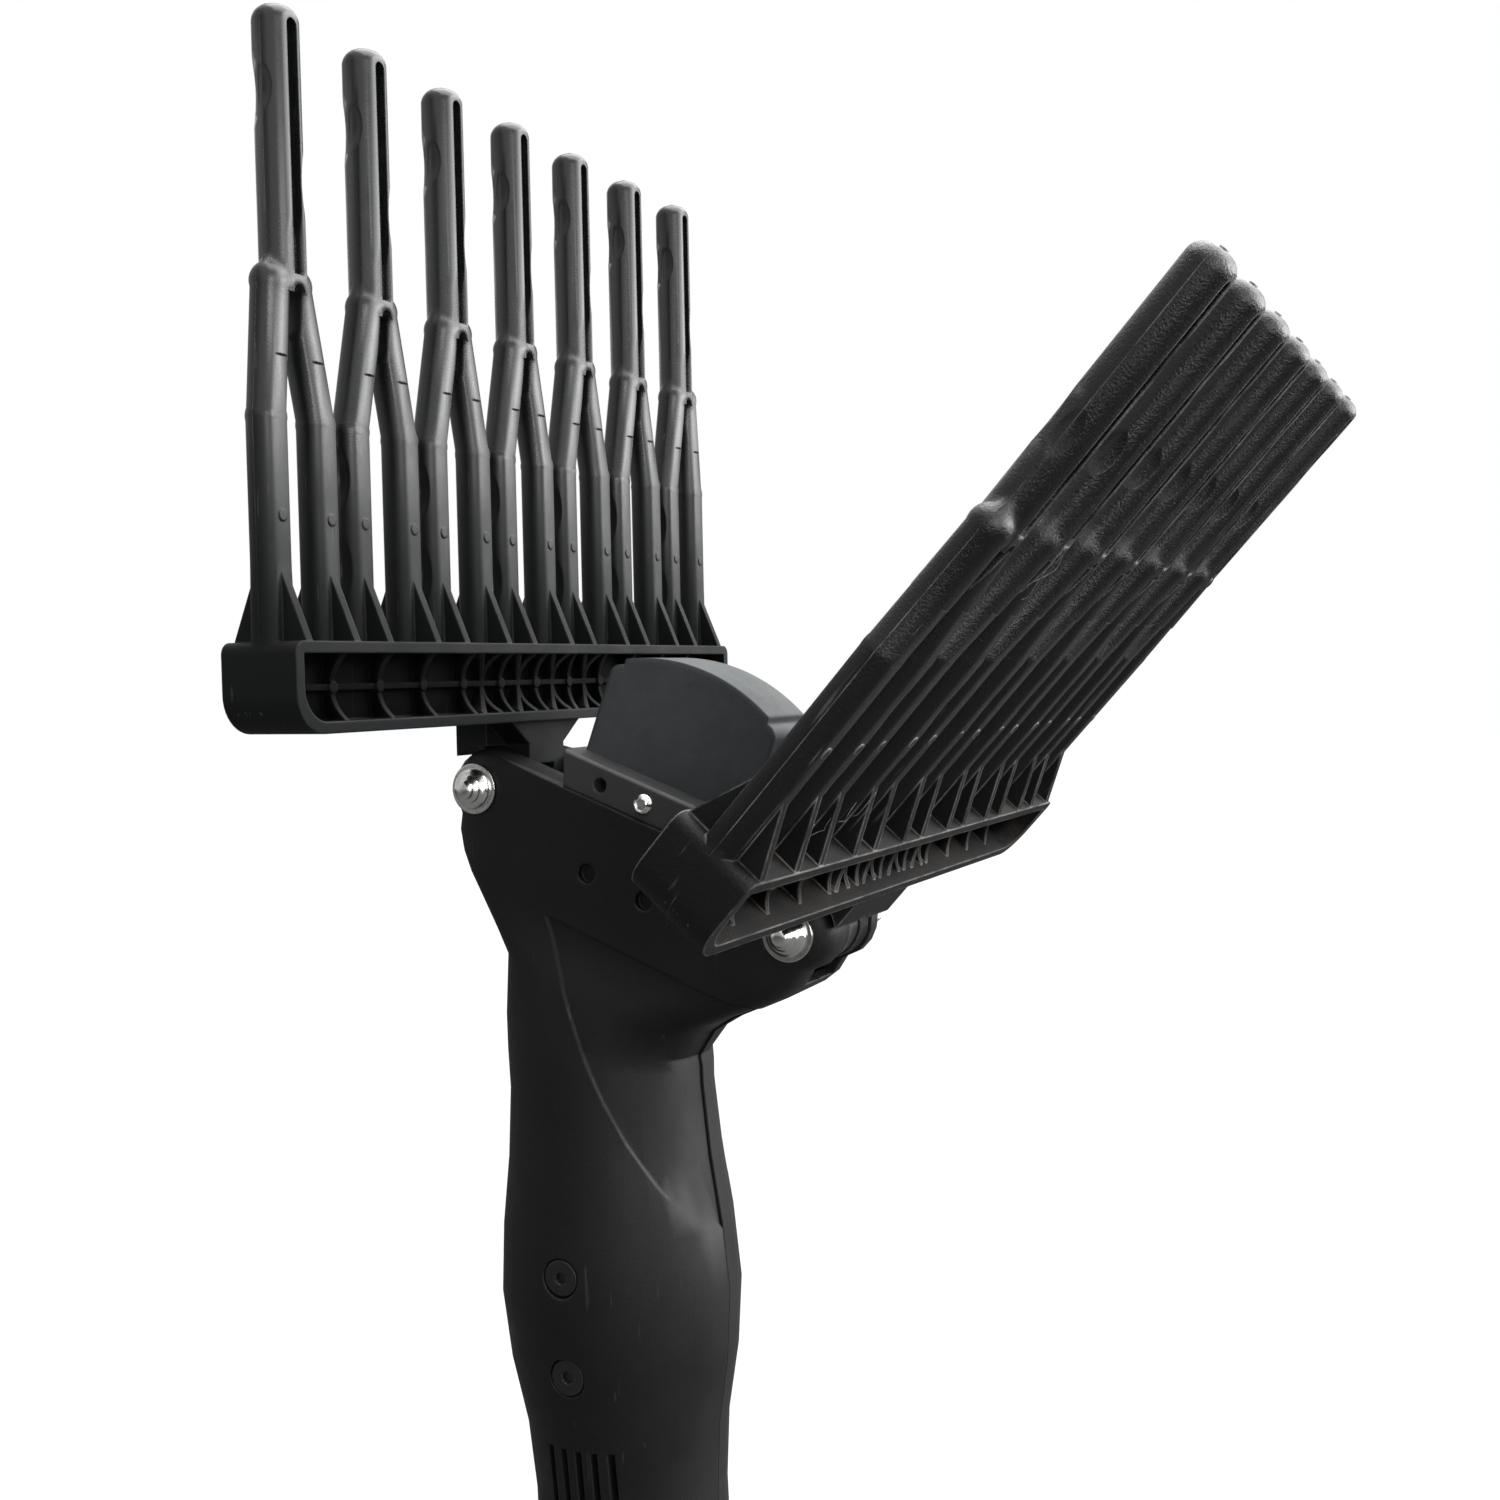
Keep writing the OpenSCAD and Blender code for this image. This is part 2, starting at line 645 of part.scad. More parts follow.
// sunk panel: bounded by a crease along the pivot line and a line that sweeps to the right edge
panel_left = -15;
panel_h = -20.7;
panel_end = [31, head_z - 95];
panel_bow = 2.5;
panel_deep = 0.6;
panel_steps = 8;
function head_point(x, h) = [head_x + x * lean_c + h * lean_s, head_z - x * lean_s + h * lean_c];
function panel_point(t) = let(a = head_point(panel_left, panel_h))
    [mix(a[0], panel_end[0], t) - panel_bow * sin(180 * t),
        mix(a[1], panel_end[1], t) - panel_bow * sin(180 * t)];
module panel_cut() intersection() {
    difference() {
        skin(stations, -1);
        skin(stations, panel_deep);
    }
    rotate([90, 0, 0]) linear_extrude(far)
        polygon(concat([for (k = [0:panel_steps]) panel_point(k / panel_steps)],
            [[far, panel_end[1]], head_point(far, panel_h)]));
}
module front_shell() color([0.11, 0.11, 0.12]) {
    difference() {
        case_half(-1);
        panel_cut();
    }
    // guide ribs for the sliding yoke
    head_frame() for (s = [-1, 1])
        translate([s * (stem_half + run + guide_t / 2), 0, 0])
            box(-guide_t / 2, guide_t / 2, -head_half + wall / 4, cross_back + gap, guide_low, guide_high);
}
module rear_shell() color([0.11, 0.11, 0.12]) {
    case_half(1);
    translate([0, 0, crank_z]) difference() {
        rod_y(crank_bearing_r + 2.6, inner_half - 4, neck_r - 3);
        rod_y(crank_bearing_r, 0, inner_half + 1);
    }
}

// bumper and its channel
module centre_bumper() color([0.22, 0.24, 0.26]) head_frame() {
    arch_r = (bumper_half * bumper_half + bumper_rise * bumper_rise) / (2 * bumper_rise);
    difference() {
        intersection() {
            box(-bumper_half, bumper_half, -bumper_front, bumper_front, head_top + bracket_t, bumper_top);
            translate([0, 0, bumper_top - arch_r]) rod_y(arch_r, -far, far, 180);
        }
        for (s = [-1, 1]) difference() {
            box(min(s * (bumper_half - bumper_edge), s * far), max(s * (bumper_half - bumper_edge), s * far),
                -far, far, bumper_top - bumper_rise - bumper_edge, far);
            translate([s * (bumper_half - bumper_edge), 0, bumper_top - bumper_rise - bumper_edge])
                rod_y(bumper_edge, -far, far);
        }
        translate([0, 0, bracket_screw_z]) rod_y(small_r, -far, -bumper_front + 8);
    }
}
module bumper_bracket() color([0.1, 0.1, 0.11]) head_frame() difference() {
    box(-bracket_half, bracket_half, -bracket_front, bracket_front, head_top, bracket_top);
    box(-bumper_half - run, bumper_half + run, -bumper_front, bumper_front, head_top + bracket_t, far);
    // slanted front and back edges over the lip
    for (side = [-1, 1]) translate([0, side * bracket_front, bracket_top]) rotate([45, 0, 0])
        cube([far, bracket_bevel, bracket_bevel], center = true);
    // end faces slope in towards the bumper
    for (side = [-1, 1]) translate([side * bracket_half, 0, bracket_top]) rotate([0, side * 20, 0])
        translate([side * bracket_bevel * 2, 0, 0]) cube([bracket_bevel * 4, far, far], center = true);
    translate([0, 0, bracket_screw_z]) rod_y(small_r, -far, 0);
    for (x = [-bracket_hole_x, bracket_hole_x]) translate([x, 0, bracket_screw_z])
        rod_y(bracket_hole_r, -far, -bumper_front - 1);
}
module dome_screw(r, head_r, head_h, len) {
    rod_y(r, 0, len);
    rotate([90, 0, 0]) difference() {
        rotate_extrude($fn = fine) intersection() {
            translate([0, -head_h * 0.5]) scale([1, 1.5 * head_h / head_r]) circle(r = head_r, $fn = fine);
            square([head_r, head_h]);
        }
        translate([0, 0, head_h * 0.45]) cylinder(r = head_r * hex_ratio, h = head_h, $fn = 6);
    }
}
module bumper_screw() color([0.75, 0.75, 0.77]) head_frame()
    translate([0, -bracket_front, bracket_screw_z])
        dome_screw(small_r, small_head, small_dome, bracket_front - bumper_front + screw_bite);

// pivots
module pivots() head_frame() for (x = [-pivot_half, pivot_half]) translate([x, 0, 0]) children();
module pivot_bolts() color([0.78, 0.78, 0.8]) pivots() {
    rod_y(bolt_r, -seat_y - washer_t - eps, seat_y + washer_t + nut_h + 1.5);
    translate([0, -seat_y - washer_t, 0]) rotate([90, 0, 0]) rotate_extrude($fn = fine)
        polygon([for (p = bolt_steps) [p[0] * head_bolt_r, p[1] * head_bolt_h]]);
}
module pivot_washers() color([0.72, 0.72, 0.74]) pivots() for (side = [-1, 1]) difference() {
    rod_y(washer_r, side < 0 ? -seat_y - washer_t : seat_y, side < 0 ? -seat_y : seat_y + washer_t);
    rod_y(bolt_r, -far, far);
}
module pivot_nuts() color([0.72, 0.72, 0.74]) pivots() difference() {
    rod_y(nut_r, seat_y + washer_t, seat_y + washer_t + nut_h, 6);
    rod_y(bolt_r, -far, far);
}
module pivot_bushes() color([0.7, 0.6, 0.35]) pivots() difference() {
    rod_y(bush_r, -ear_gap, ear_gap);
    rod_y(bolt_r, -far, far);
}

// sliding yoke with its two drive pins
module crosshead() color([0.55, 0.56, 0.58]) head_frame() difference() {
    pin_h = lift - crank_drop;
    slot_end = crank_throw + 1;
    union() {
        box(-drive_pin_x - yoke_end, drive_pin_x + yoke_end, cross_front, cross_back,
            pin_z - yoke_end, pin_z + yoke_end);
        box(-stem_half, stem_half, cross_front, cross_back, pin_h - yoke_low, pin_z);
        box(-stem_half - yoke_side, stem_half + yoke_side, cross_front, cross_back,
            pin_h - yoke_low, pin_h + yoke_high);
    }
    for (x = [-drive_pin_x, drive_pin_x]) translate([x, 0, pin_z]) rod_y(pin_r, -far, far);
    translate([0, 0, pin_h]) {
        box(-slot_end, slot_end, -far, far, -crank_pin_r - yoke_play, crank_pin_r + yoke_play);
        for (s = [-1, 1]) translate([s * slot_end, 0, 0]) rod_y(crank_pin_r + yoke_play, -far, far);
    }
}
module drive_pins() color([0.75, 0.75, 0.77]) head_frame() for (x = [-drive_pin_x, drive_pin_x])
    translate([x, 0, pin_z]) rod_y(pin_r, cross_front, lever_half + 0.5);

// crank and its crown gear
module crank() color([0.6, 0.61, 0.63]) {
    head_frame() translate([0, 0, -crank_drop]) {
        rod_y(disc_r, disc_front, disc_back);
        rod_y(crank_shaft_r, disc_back - 1, inner_half + 0.5);
        translate([crank_throw * cos(crank_angle), 0, crank_throw * sin(crank_angle)])
            rod_y(crank_pin_r, cross_back + gap, disc_front + 1);
    }
}
module crown_gear() color([0.5, 0.5, 0.52]) translate([0, 0, crank_z]) {
    difference() {
        rod_y(crown_r + face_half + 0.6, pinion_r + tooth_down, pinion_r + tooth_down + 2.6);
        rod_y(crank_shaft_r, 0, far);
    }
    for (k = [0:crown_teeth - 1]) rotate([0, (k + 0.5) * 360 / crown_teeth, 0])
        translate([0, 0, -crown_r - face_half]) linear_extrude(2 * face_half)
            polygon([[-tooth_tip / 2, pinion_r - tooth_up], [tooth_tip / 2, pinion_r - tooth_up],
                [tooth_w / 2 + tooth_foot, pinion_r + tooth_down + 0.2],
                [-tooth_w / 2 - tooth_foot, pinion_r + tooth_down + 0.2]]);
}
module crank_bearing() color([0.65, 0.65, 0.67]) translate([0, 0, crank_z]) difference() {
    rod_y(crank_bearing_r, inner_half - 4, inner_half + 1);
    rod_y(crank_shaft_r + run, 0, far);
}

// gearmotor and pinion shaft
module output_shaft() color([0.68, 0.68, 0.7]) translate([0, 0, gear_top - shaft_bite])
    cylinder(r = shaft_r, h = crank_z - crown_r + face_half + 1 - gear_top + shaft_bite, $fn = fine);
module pinion() color([0.5, 0.5, 0.52]) translate([0, 0, crank_z - crown_r - face_half - 1]) difference() {
    union() {
        cylinder(r = pinion_r - tooth_down, h = 2 * face_half + 2, $fn = fine);
        for (k = [0:pinion_teeth - 1])
            rotate([0, 0, 90 + k * 360 / pinion_teeth]) linear_extrude(2 * face_half + 2)
                polygon([[pinion_r - tooth_down - tooth_root, -tooth_w / 2 - tooth_foot],
                    [pinion_r + tooth_up, -tooth_tip / 2], [pinion_r + tooth_up, tooth_tip / 2],
                    [pinion_r - tooth_down - tooth_root, tooth_w / 2 + tooth_foot]]);
    }
    translate([0, 0, -1]) cylinder(r = shaft_r, h = far, $fn = fine);
}
module shaft_bearing() color([0.65, 0.65, 0.67]) translate([0, 0, shaft_bearing_z]) difference() {
    cylinder(r = shaft_bearing_r, h = shaft_bearing_h, $fn = fine);
    translate([0, 0, -1]) cylinder(r = shaft_r + run, h = far, $fn = fine);
}
module gearbox() color([0.45, 0.46, 0.48]) difference() {
    translate([0, 0, gear_low]) cylinder(r = gear_r, h = gear_top - gear_low, $fn = fine);
    translate([0, 0, gear_top - shaft_bite - gap]) cylinder(r = shaft_r + run, h = far, $fn = fine);
    translate([0, 0, gear_low - 1]) cylinder(r = motor_shaft_r + run, h = motor_bite + 2, $fn = fine);
    for (z = [screw_high, screw_low]) translate([0, 0, z]) rod_y(case_r, -far, -gear_r + screw_bite + 1);
}
module motor_can() color([0.5, 0.51, 0.53]) translate([0, 0, motor_low + cap_h]) difference() {
    cylinder(r = motor_r, h = motor_len - cap_h, $fn = fine);
    translate([0, 0, -1]) cylinder(r = motor_shaft_r + run, h = far, $fn = fine);
}
module motor_cap() color([0.16, 0.16, 0.17]) translate([0, 0, motor_low]) difference() {
    cylinder(r = motor_r - cap_in, h = cap_h, $fn = fine);
    translate([0, 0, -1]) cylinder(r = motor_shaft_r + run, h = far, $fn = fine);
}
module motor_shaft() color([0.7, 0.7, 0.72]) translate([0, 0, fan_top - fan_h])
    cylinder(r = motor_shaft_r, h = gear_low + motor_bite - fan_top + fan_h, $fn = fine);
module cooling_fan() color([0.2, 0.2, 0.21]) translate([0, 0, fan_top - fan_h]) difference() {
    union() {
        cylinder(r = fan_hub_r, h = fan_h, $fn = fine);
        cylinder(r = fan_r, h = fan_plate, $fn = fine);
        for (k = [0:fan_blades - 1]) rotate([0, 0, k * 360 / fan_blades])
            box(fan_hub_r - 1, fan_r, -blade_t / 2, blade_t / 2, 0, fan_h);
    }
    translate([0, 0, -1]) cylinder(r = motor_shaft_r, h = far, $fn = fine);
}
module screw_front(z) translate([0, -gear_seat(z), z]) children();
module gearbox_screws() color([0.14, 0.14, 0.15]) for (z = [screw_high, screw_low]) screw_front(z)
    dome_screw(case_r, case_head, case_dome, gear_seat(z) - gear_r + screw_bite);
module case_screws() color([0.14, 0.14, 0.15]) for (z = screw_z, x = [-1, 1])
    translate([x * screw_x(z), screw_back(z), z]) rotate([0, 0, 180])
        dome_screw(case_r, case_head, case_dome, screw_back(z) + screw_bite);

// pole socket
module pole_socket() color([0.75, 0.76, 0.78]) difference() {
    union() {
        cylinder(r = socket_r, h = socket_top + floor_t, $fn = fine);
        cylinder(r = flange_r, h = base_z, $fn = fine);
    }
    translate([0, 0, -1]) cylinder(r = pole_r, h = socket_top + 1, $fn = fine);
    translate([0, 0, -1]) cylinder(r = inlet_r, h = far, $fn = fine);
    translate([0, 0, socket_screw_z]) {
        rod_y(case_r, -far, -pole_r - screw_short);
        rod_y(case_r, pole_r + screw_short, far);
    }
}
module power_inlet() color([0.12, 0.12, 0.13]) translate([0, 0, socket_top]) difference() {
    union() {
        cylinder(r = inlet_r, h = floor_t + 1, $fn = fine);
        translate([0, 0, floor_t]) cylinder(r = inlet_r + inlet_rim, h = inlet_nut, $fn = fine);
    }
    for (x = [-prong_x, prong_x]) translate([x, 0, -1]) cylinder(r = prong_r, h = prong_h, $fn = soft);
}
module socket_screws() color([0.14, 0.14, 0.15]) for (turn = [0, 180]) rotate([0, 0, turn])
    translate([0, -socket_seat, socket_screw_z])
        dome_screw(case_r, case_head, case_dome, socket_seat - pole_r - screw_short);

front_shell();
rear_shell();
left_comb();
right_comb();
left_lever();
right_lever();
left_key_pins();
right_key_pins();
centre_bumper();
bumper_bracket();
bumper_screw();
pivot_bolts();
pivot_washers();
pivot_nuts();
pivot_bushes();
crosshead();
drive_pins();
crank();
crown_gear();
crank_bearing();
output_shaft();
pinion();
shaft_bearing();
gearbox();
motor_can();
motor_cap();
motor_shaft();
cooling_fan();
gearbox_screws();
case_screws();
pole_socket();
socket_screws();
power_inlet();
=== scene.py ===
# %% [markdown]
# # Electric olive harvester
# The head of an olive harvester: two black combs clap against each other on a bent black handle, with a
# rubber bumper between them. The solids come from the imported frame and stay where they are. They could be
# modelled again here, but the frame already holds them at their true sizes. So this lesson gives them their
# finishes, adds the thin moulding details, and sets up a bright studio.

# %% Load the frame
import json
import math

import bpy
from mathutils import Euler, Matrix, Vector


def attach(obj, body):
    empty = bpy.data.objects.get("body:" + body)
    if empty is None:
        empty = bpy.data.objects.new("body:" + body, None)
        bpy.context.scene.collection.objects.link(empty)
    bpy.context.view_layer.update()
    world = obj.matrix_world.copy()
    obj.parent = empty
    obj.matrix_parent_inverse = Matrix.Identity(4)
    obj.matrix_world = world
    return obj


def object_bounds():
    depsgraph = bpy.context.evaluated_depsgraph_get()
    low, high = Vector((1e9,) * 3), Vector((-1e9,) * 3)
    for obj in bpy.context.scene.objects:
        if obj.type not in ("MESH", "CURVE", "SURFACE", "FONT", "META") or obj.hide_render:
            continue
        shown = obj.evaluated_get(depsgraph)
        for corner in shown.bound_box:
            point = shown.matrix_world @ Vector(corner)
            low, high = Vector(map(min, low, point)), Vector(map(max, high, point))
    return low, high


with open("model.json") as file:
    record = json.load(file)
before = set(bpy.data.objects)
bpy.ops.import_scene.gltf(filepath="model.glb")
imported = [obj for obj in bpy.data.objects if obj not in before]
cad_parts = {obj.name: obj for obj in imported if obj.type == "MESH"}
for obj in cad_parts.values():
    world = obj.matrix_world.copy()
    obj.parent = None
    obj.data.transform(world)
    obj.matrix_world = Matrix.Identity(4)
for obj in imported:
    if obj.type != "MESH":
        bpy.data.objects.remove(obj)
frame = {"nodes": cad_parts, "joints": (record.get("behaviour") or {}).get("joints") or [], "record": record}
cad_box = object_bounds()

MM = 0.001
nodes = frame["nodes"]
joints = {joint["name"]: joint for joint in frame["joints"]}
print("nodes loaded:", len(nodes))

# %% [markdown]
# ## Where the combs stand
# Each comb swings on a pin in the head. The two pins give the line of the head and how far it leans, so
# every detail on a comb can be placed in that comb's own frame: X through the comb, Y along its bar, Z up
# its fingers. The right comb is the same moulding turned half round. Details could be measured in the whole
# scene too, but in the comb's frame the numbers are those of the moulding.

# %% Comb frames
COMB_OPEN = math.radians(21)

left_pin = Vector(joints["left_swing"]["pos_m"])
right_pin = Vector(joints["right_swing"]["pos_m"])
pin_line = right_pin - left_pin
head_lean = math.atan2(-pin_line.z, pin_line.x)
comb_pin = {"left": left_pin, "right": right_pin}
comb_turn = {"left": head_lean - COMB_OPEN, "right": head_lean + COMB_OPEN}
comb_facing = {"left": 1, "right": -1}


def comb_point(side, x, y, z):
    """A point in a comb's own frame, in millimetres, as a place in the row frame, in metres."""
    local = Vector((comb_facing[side] * x, comb_facing[side] * y, z)) * MM
    local.rotate(Euler((0, comb_turn[side], 0)))
    return comb_pin[side] + local


print("head lean:", round(math.degrees(head_lean), 2), "degrees")

# %% [markdown]
# ## Camera
# The photograph looks at the head from the front right, a little above the pins, with a moderate wide lens
# and a slight roll. The handle runs out of the lower edge of the picture. A camera can be turned by three
# typed angles, but a place and a point to look at are easier to adjust, so the angles are worked out.

# %% Camera
CAMERA_PLACE = Vector((0.2123, -0.3569, 0.2760))
CAMERA_AIM = Vector((0.0395, 0.0036, 0.2632))
CAMERA_ROLL = math.radians(-2.7)
LENS_MM = 40.9
SENSOR_MM = 36
CLIP_START = 10 * MM

bpy.ops.object.select_all(action="DESELECT")
bpy.ops.object.camera_add(location=CAMERA_PLACE)
camera = bpy.context.object
camera.data.lens = LENS_MM
camera.data.sensor_width = SENSOR_MM
camera.data.clip_start = CLIP_START
look = (CAMERA_AIM - CAMERA_PLACE).to_track_quat("-Z", "Y").to_matrix()
roll = Euler((0, 0, CAMERA_ROLL)).to_matrix()
camera.rotation_euler = (look @ roll).to_euler()
bpy.context.scene.camera = camera
print("camera axes:", [tuple(round(v, 4) for v in column) for column in (look @ roll).transposed()])

# %% [markdown]
# ## Shader node helpers
# Every finish below is a small network of shader nodes. They could be clicked together one by one, but then
# nothing could be used twice. A few short helpers place nodes, link them, do sums on masks and blend
# colours, so that a finish can be read as a recipe.


# %% Shader node helpers
def place_node(tree, kind, **settings):
    """A new shader node with its settings."""
    node = tree.nodes.new(kind)
    for setting, value in settings.items():
        setattr(node, setting, value)
    return node


def feed(tree, socket, value):
    """Links a socket into another, or sets it to a plain value."""
    if isinstance(value, bpy.types.NodeSocket):
        tree.links.new(value, socket)
    else:
        socket.default_value = value


def calculate(tree, operation, first, second=0.0):
    """A Math node on two sockets or numbers."""
    node = place_node(tree, "ShaderNodeMath", operation=operation)
    feed(tree, node.inputs[0], first)
    feed(tree, node.inputs[1], second)
    return node.outputs[0]


def product(tree, first, *others):
    """Masks and numbers multiplied together."""
    for other in others:
        first = calculate(tree, "MULTIPLY", first, other)
    return first


def remap(tree, value, low, high, to_low=0.0, to_high=1.0):
    """A smooth ramp from low to high."""
    node = place_node(tree, "ShaderNodeMapRange", interpolation_type="SMOOTHSTEP")
    for name, number in zip(("Value", "From Min", "From Max", "To Min", "To Max"),
                            (value, low, high, to_low, to_high)):
        feed(tree, node.inputs[name], number)
    return node.outputs["Result"]


def noise(tree, vector, scale, detail=2.0, roughness=0.5):
    """A noise texture, about 0.5 on average."""
    node = place_node(tree, "ShaderNodeTexNoise")
    feed(tree, node.inputs["Vector"], vector)
    feed(tree, node.inputs["Scale"], scale)
    node.inputs["Detail"].default_value = detail
    node.inputs["Roughness"].default_value = roughness
    return node.outputs[0]


def blend_colours(tree, mask, under, over):
    """One colour laid over another by a mask."""
    node = place_node(tree, "ShaderNodeMix", data_type="RGBA")
    feed(tree, node.inputs[0], mask)
    for socket, colour in ((node.inputs[6], under), (node.inputs[7], over)):
        feed(tree, socket, (*colour, 1) if isinstance(colour, tuple) else colour)
    return node.outputs[2]


shader_helpers = (place_node, feed, calculate, product, remap, noise, blend_colours)
print("shader helpers:", [helper.__name__ for helper in shader_helpers])

# %% [markdown]
# ## Floor
# The photograph has a white ground with a soft shadow near the object. A plain white floor would turn grey
# far away, and a glowing floor would lose the shadow. So this floor is a mix: near the object it is half
# matt and keeps the shadow, and further off it glows white. The Light Path node shows the white to the
# camera alone, so that less light is thrown back at the object from below.

# %% Floor
FLOOR_SIZE = 12
FLOOR_GAP = 0.5 * MM
FLOOR_WHITE = (0.8, 0.8, 0.8)
FLOOR_BOUNCE = (0.16, 0.16, 0.16)
FLOOR_SHOWN = 0.5
FLOOR_GLOW = 1.1
FLOOR_NEAR = 0.25
FLOOR_FAR = 0.8

bpy.ops.object.select_all(action="DESELECT")
bpy.ops.mesh.primitive_plane_add(size=FLOOR_SIZE, location=(0, 0, cad_box[0].z - FLOOR_GAP))
floor = bpy.context.object
floor.name = "studio_floor"


def studio_floor_finish():
    """Pale floor: white to the camera, with a trace of the object's shadow."""
    material = bpy.data.materials.new("studio_floor")
    material.use_nodes = True
    tree = material.node_tree
    tree.nodes.clear()
    output = place_node(tree, "ShaderNodeOutputMaterial")
    matt = place_node(tree, "ShaderNodeBsdfDiffuse")
    glow = place_node(tree, "ShaderNodeEmission")
    glow.inputs["Color"].default_value = (1, 1, 1, 1)
    glow.inputs["Strength"].default_value = FLOOR_GLOW
    to_camera = place_node(tree, "ShaderNodeLightPath").outputs["Is Camera Ray"]
    tree.links.new(blend_colours(tree, to_camera, FLOOR_BOUNCE, FLOOR_WHITE), matt.inputs["Color"])
    distance = place_node(tree, "ShaderNodeVectorMath", operation="LENGTH")
    tree.links.new(place_node(tree, "ShaderNodeTexCoord").outputs["Object"], distance.inputs[0])
    whiter = remap(tree, distance.outputs["Value"], FLOOR_NEAR, FLOOR_FAR, FLOOR_SHOWN, 1.0)
    mix = place_node(tree, "ShaderNodeMixShader")
    tree.links.new(product(tree, to_camera, whiter), mix.inputs[0])
    tree.links.new(matt.outputs[0], mix.inputs[1])
    tree.links.new(glow.outputs[0], mix.inputs[2])
    tree.links.new(mix.outputs[0], output.inputs["Surface"])
    return material


floor.data.materials.append(studio_floor_finish())
print("floor:", FLOOR_SIZE, "m wide,", FLOOR_GAP / MM, "mm below the part")

# %% [markdown]
# ## Room around the object
# Glossy black plastic shows mostly what it mirrors. In the photograph that is a bright window wall on the
# right, a plain wall in front and a dim one on the left. Real walls could be built, but a world that changes
# with direction does the same with no meshes. The camera sees plain white, mirrored rays see the three
# walls, and all other rays get an even, weak fill.

# %% World
WORLD_FILL = 0.13
BRIGHT_SIDE = (0.9, 0.43, 0.0)
BRIGHT_WALL = 5.4
BRIGHT_FROM = 0.55
BRIGHT_TO = 0.98
FRONT_WALL = 1.1
DARK_WALL = 0.36
DARK_FROM = -0.75
DARK_TO = -0.35

world = bpy.data.worlds.new("studio")
bpy.context.scene.world = world
world.use_nodes = True
sky = world.node_tree
sky.nodes.clear()
sky_out = place_node(sky, "ShaderNodeOutputWorld")
sky_light = place_node(sky, "ShaderNodeBackground")
sky_light.inputs["Color"].default_value = (1, 1, 1, 1)
rays = place_node(sky, "ShaderNodeLightPath").outputs
towards = place_node(sky, "ShaderNodeVectorMath", operation="DOT_PRODUCT")
sky.links.new(place_node(sky, "ShaderNodeTexCoord").outputs["Generated"], towards.inputs[0])
towards.inputs[1].default_value = BRIGHT_SIDE
window = remap(sky, towards.outputs["Value"], BRIGHT_FROM, BRIGHT_TO, 0.0, BRIGHT_WALL)
room = remap(sky, towards.outputs["Value"], DARK_FROM, DARK_TO, DARK_WALL, FRONT_WALL)
mirrored = calculate(sky, "MAXIMUM", rays["Is Glossy Ray"], rays["Is Transmission Ray"])
walls = product(sky, mirrored, calculate(sky, "ADD", room, window))
shown = calculate(sky, "MAXIMUM", rays["Is Camera Ray"], walls)
sky.links.new(calculate(sky, "MAXIMUM", shown, WORLD_FILL), sky_light.inputs["Strength"])
sky.links.new(sky_light.outputs[0], sky_out.inputs["Surface"])
bpy.context.scene.view_settings.view_transform = "Standard"
print("world:", len(sky.nodes), "nodes")

# %% [markdown]
# ## Lamps
# The light of the photograph is broad and soft, with the brightest side on the right. Five area lamps do
# that: a window at the back right, a corner lamp and a tall narrow strip at the front right for the streaks
# on the fingers, a weak fill on the left and a wide lamp above. Area lamps are chosen over points and suns
# because their size sets how soft the shadows and the highlights are.

# %% Lamps
LAMP_TARGET = Vector((0.03, 0.0, 0.26))
LAMPS = {
    "window_lamp": {"place": (1.25, 0.62, 0.34), "size": 0.8, "watts": 10},
    "corner_lamp": {"place": (1.15, -0.95, 0.5), "size": 0.6, "watts": 5},
    "strip_lamp": {"place": (0.9, -1.2, 0.36), "size": 0.07, "height": 0.7, "watts": 2.2},
    "fill_lamp": {"place": (-1.2, -0.6, 0.7), "size": 1.4, "watts": 1.4},
    "top_lamp": {"place": (0.35, 0.4, 1.5), "size": 1.8, "watts": 42},
}

for lamp_name, lamp in LAMPS.items():
    bpy.ops.object.select_all(action="DESELECT")
    bpy.ops.object.light_add(type="AREA", location=lamp["place"])
    light = bpy.context.object
    light.name = lamp_name
    light.data.shape = "RECTANGLE"
    light.data.size = lamp["size"]
    light.data.size_y = lamp.get("height", lamp["size"])
    light.data.energy = lamp["watts"]
    light.rotation_euler = (LAMP_TARGET - light.location).to_track_quat("-Z", "Y").to_euler()
print("lamps:", list(LAMPS))

# %% [markdown]
# ## Smooth solids
# The frame's solids arrive as loose triangles, so a round handle would show its facets. Joining them in the
# mesh would change the solid. Two modifiers mend it and leave the mesh alone: Weld joins the triangles, and
# Edge Split keeps the real edges sharp while the rest shades smoothly.

# %% Smooth shading on the solids
EDGE_ANGLE = math.radians(38)
WELD_DISTANCE = 0.02 * MM

for node in nodes.values():
    node.data.polygons.foreach_set("use_smooth", [True] * len(node.data.polygons))
    weld = node.modifiers.new("join_triangles", "WELD")
    weld.merge_threshold = WELD_DISTANCE
    split = node.modifiers.new("keep_edges", "EDGE_SPLIT")
    split.split_angle = EDGE_ANGLE
print("triangles in the solids:", sum(len(node.data.polygons) for node in nodes.values()))

# %% [markdown]
# ## Rounded bumper and bracket
# The rubber bumper has soft, round edges all over, and its holder is a folded sheet with small ones. The
# edges could be rounded in a new mesh, but the solids already have the right places. So modifiers do it:
# one merges the flat faces, and a Bevel then rounds every sharp edge that is left.

# %% Rounded bumper and bracket
ROUNDED = {"centre_bumper": (3.4 * MM, 6), "bumper_bracket": (0.7 * MM, 3)}
FLAT_ANGLE = math.radians(0.6)
SHARP_ANGLE = math.radians(40)


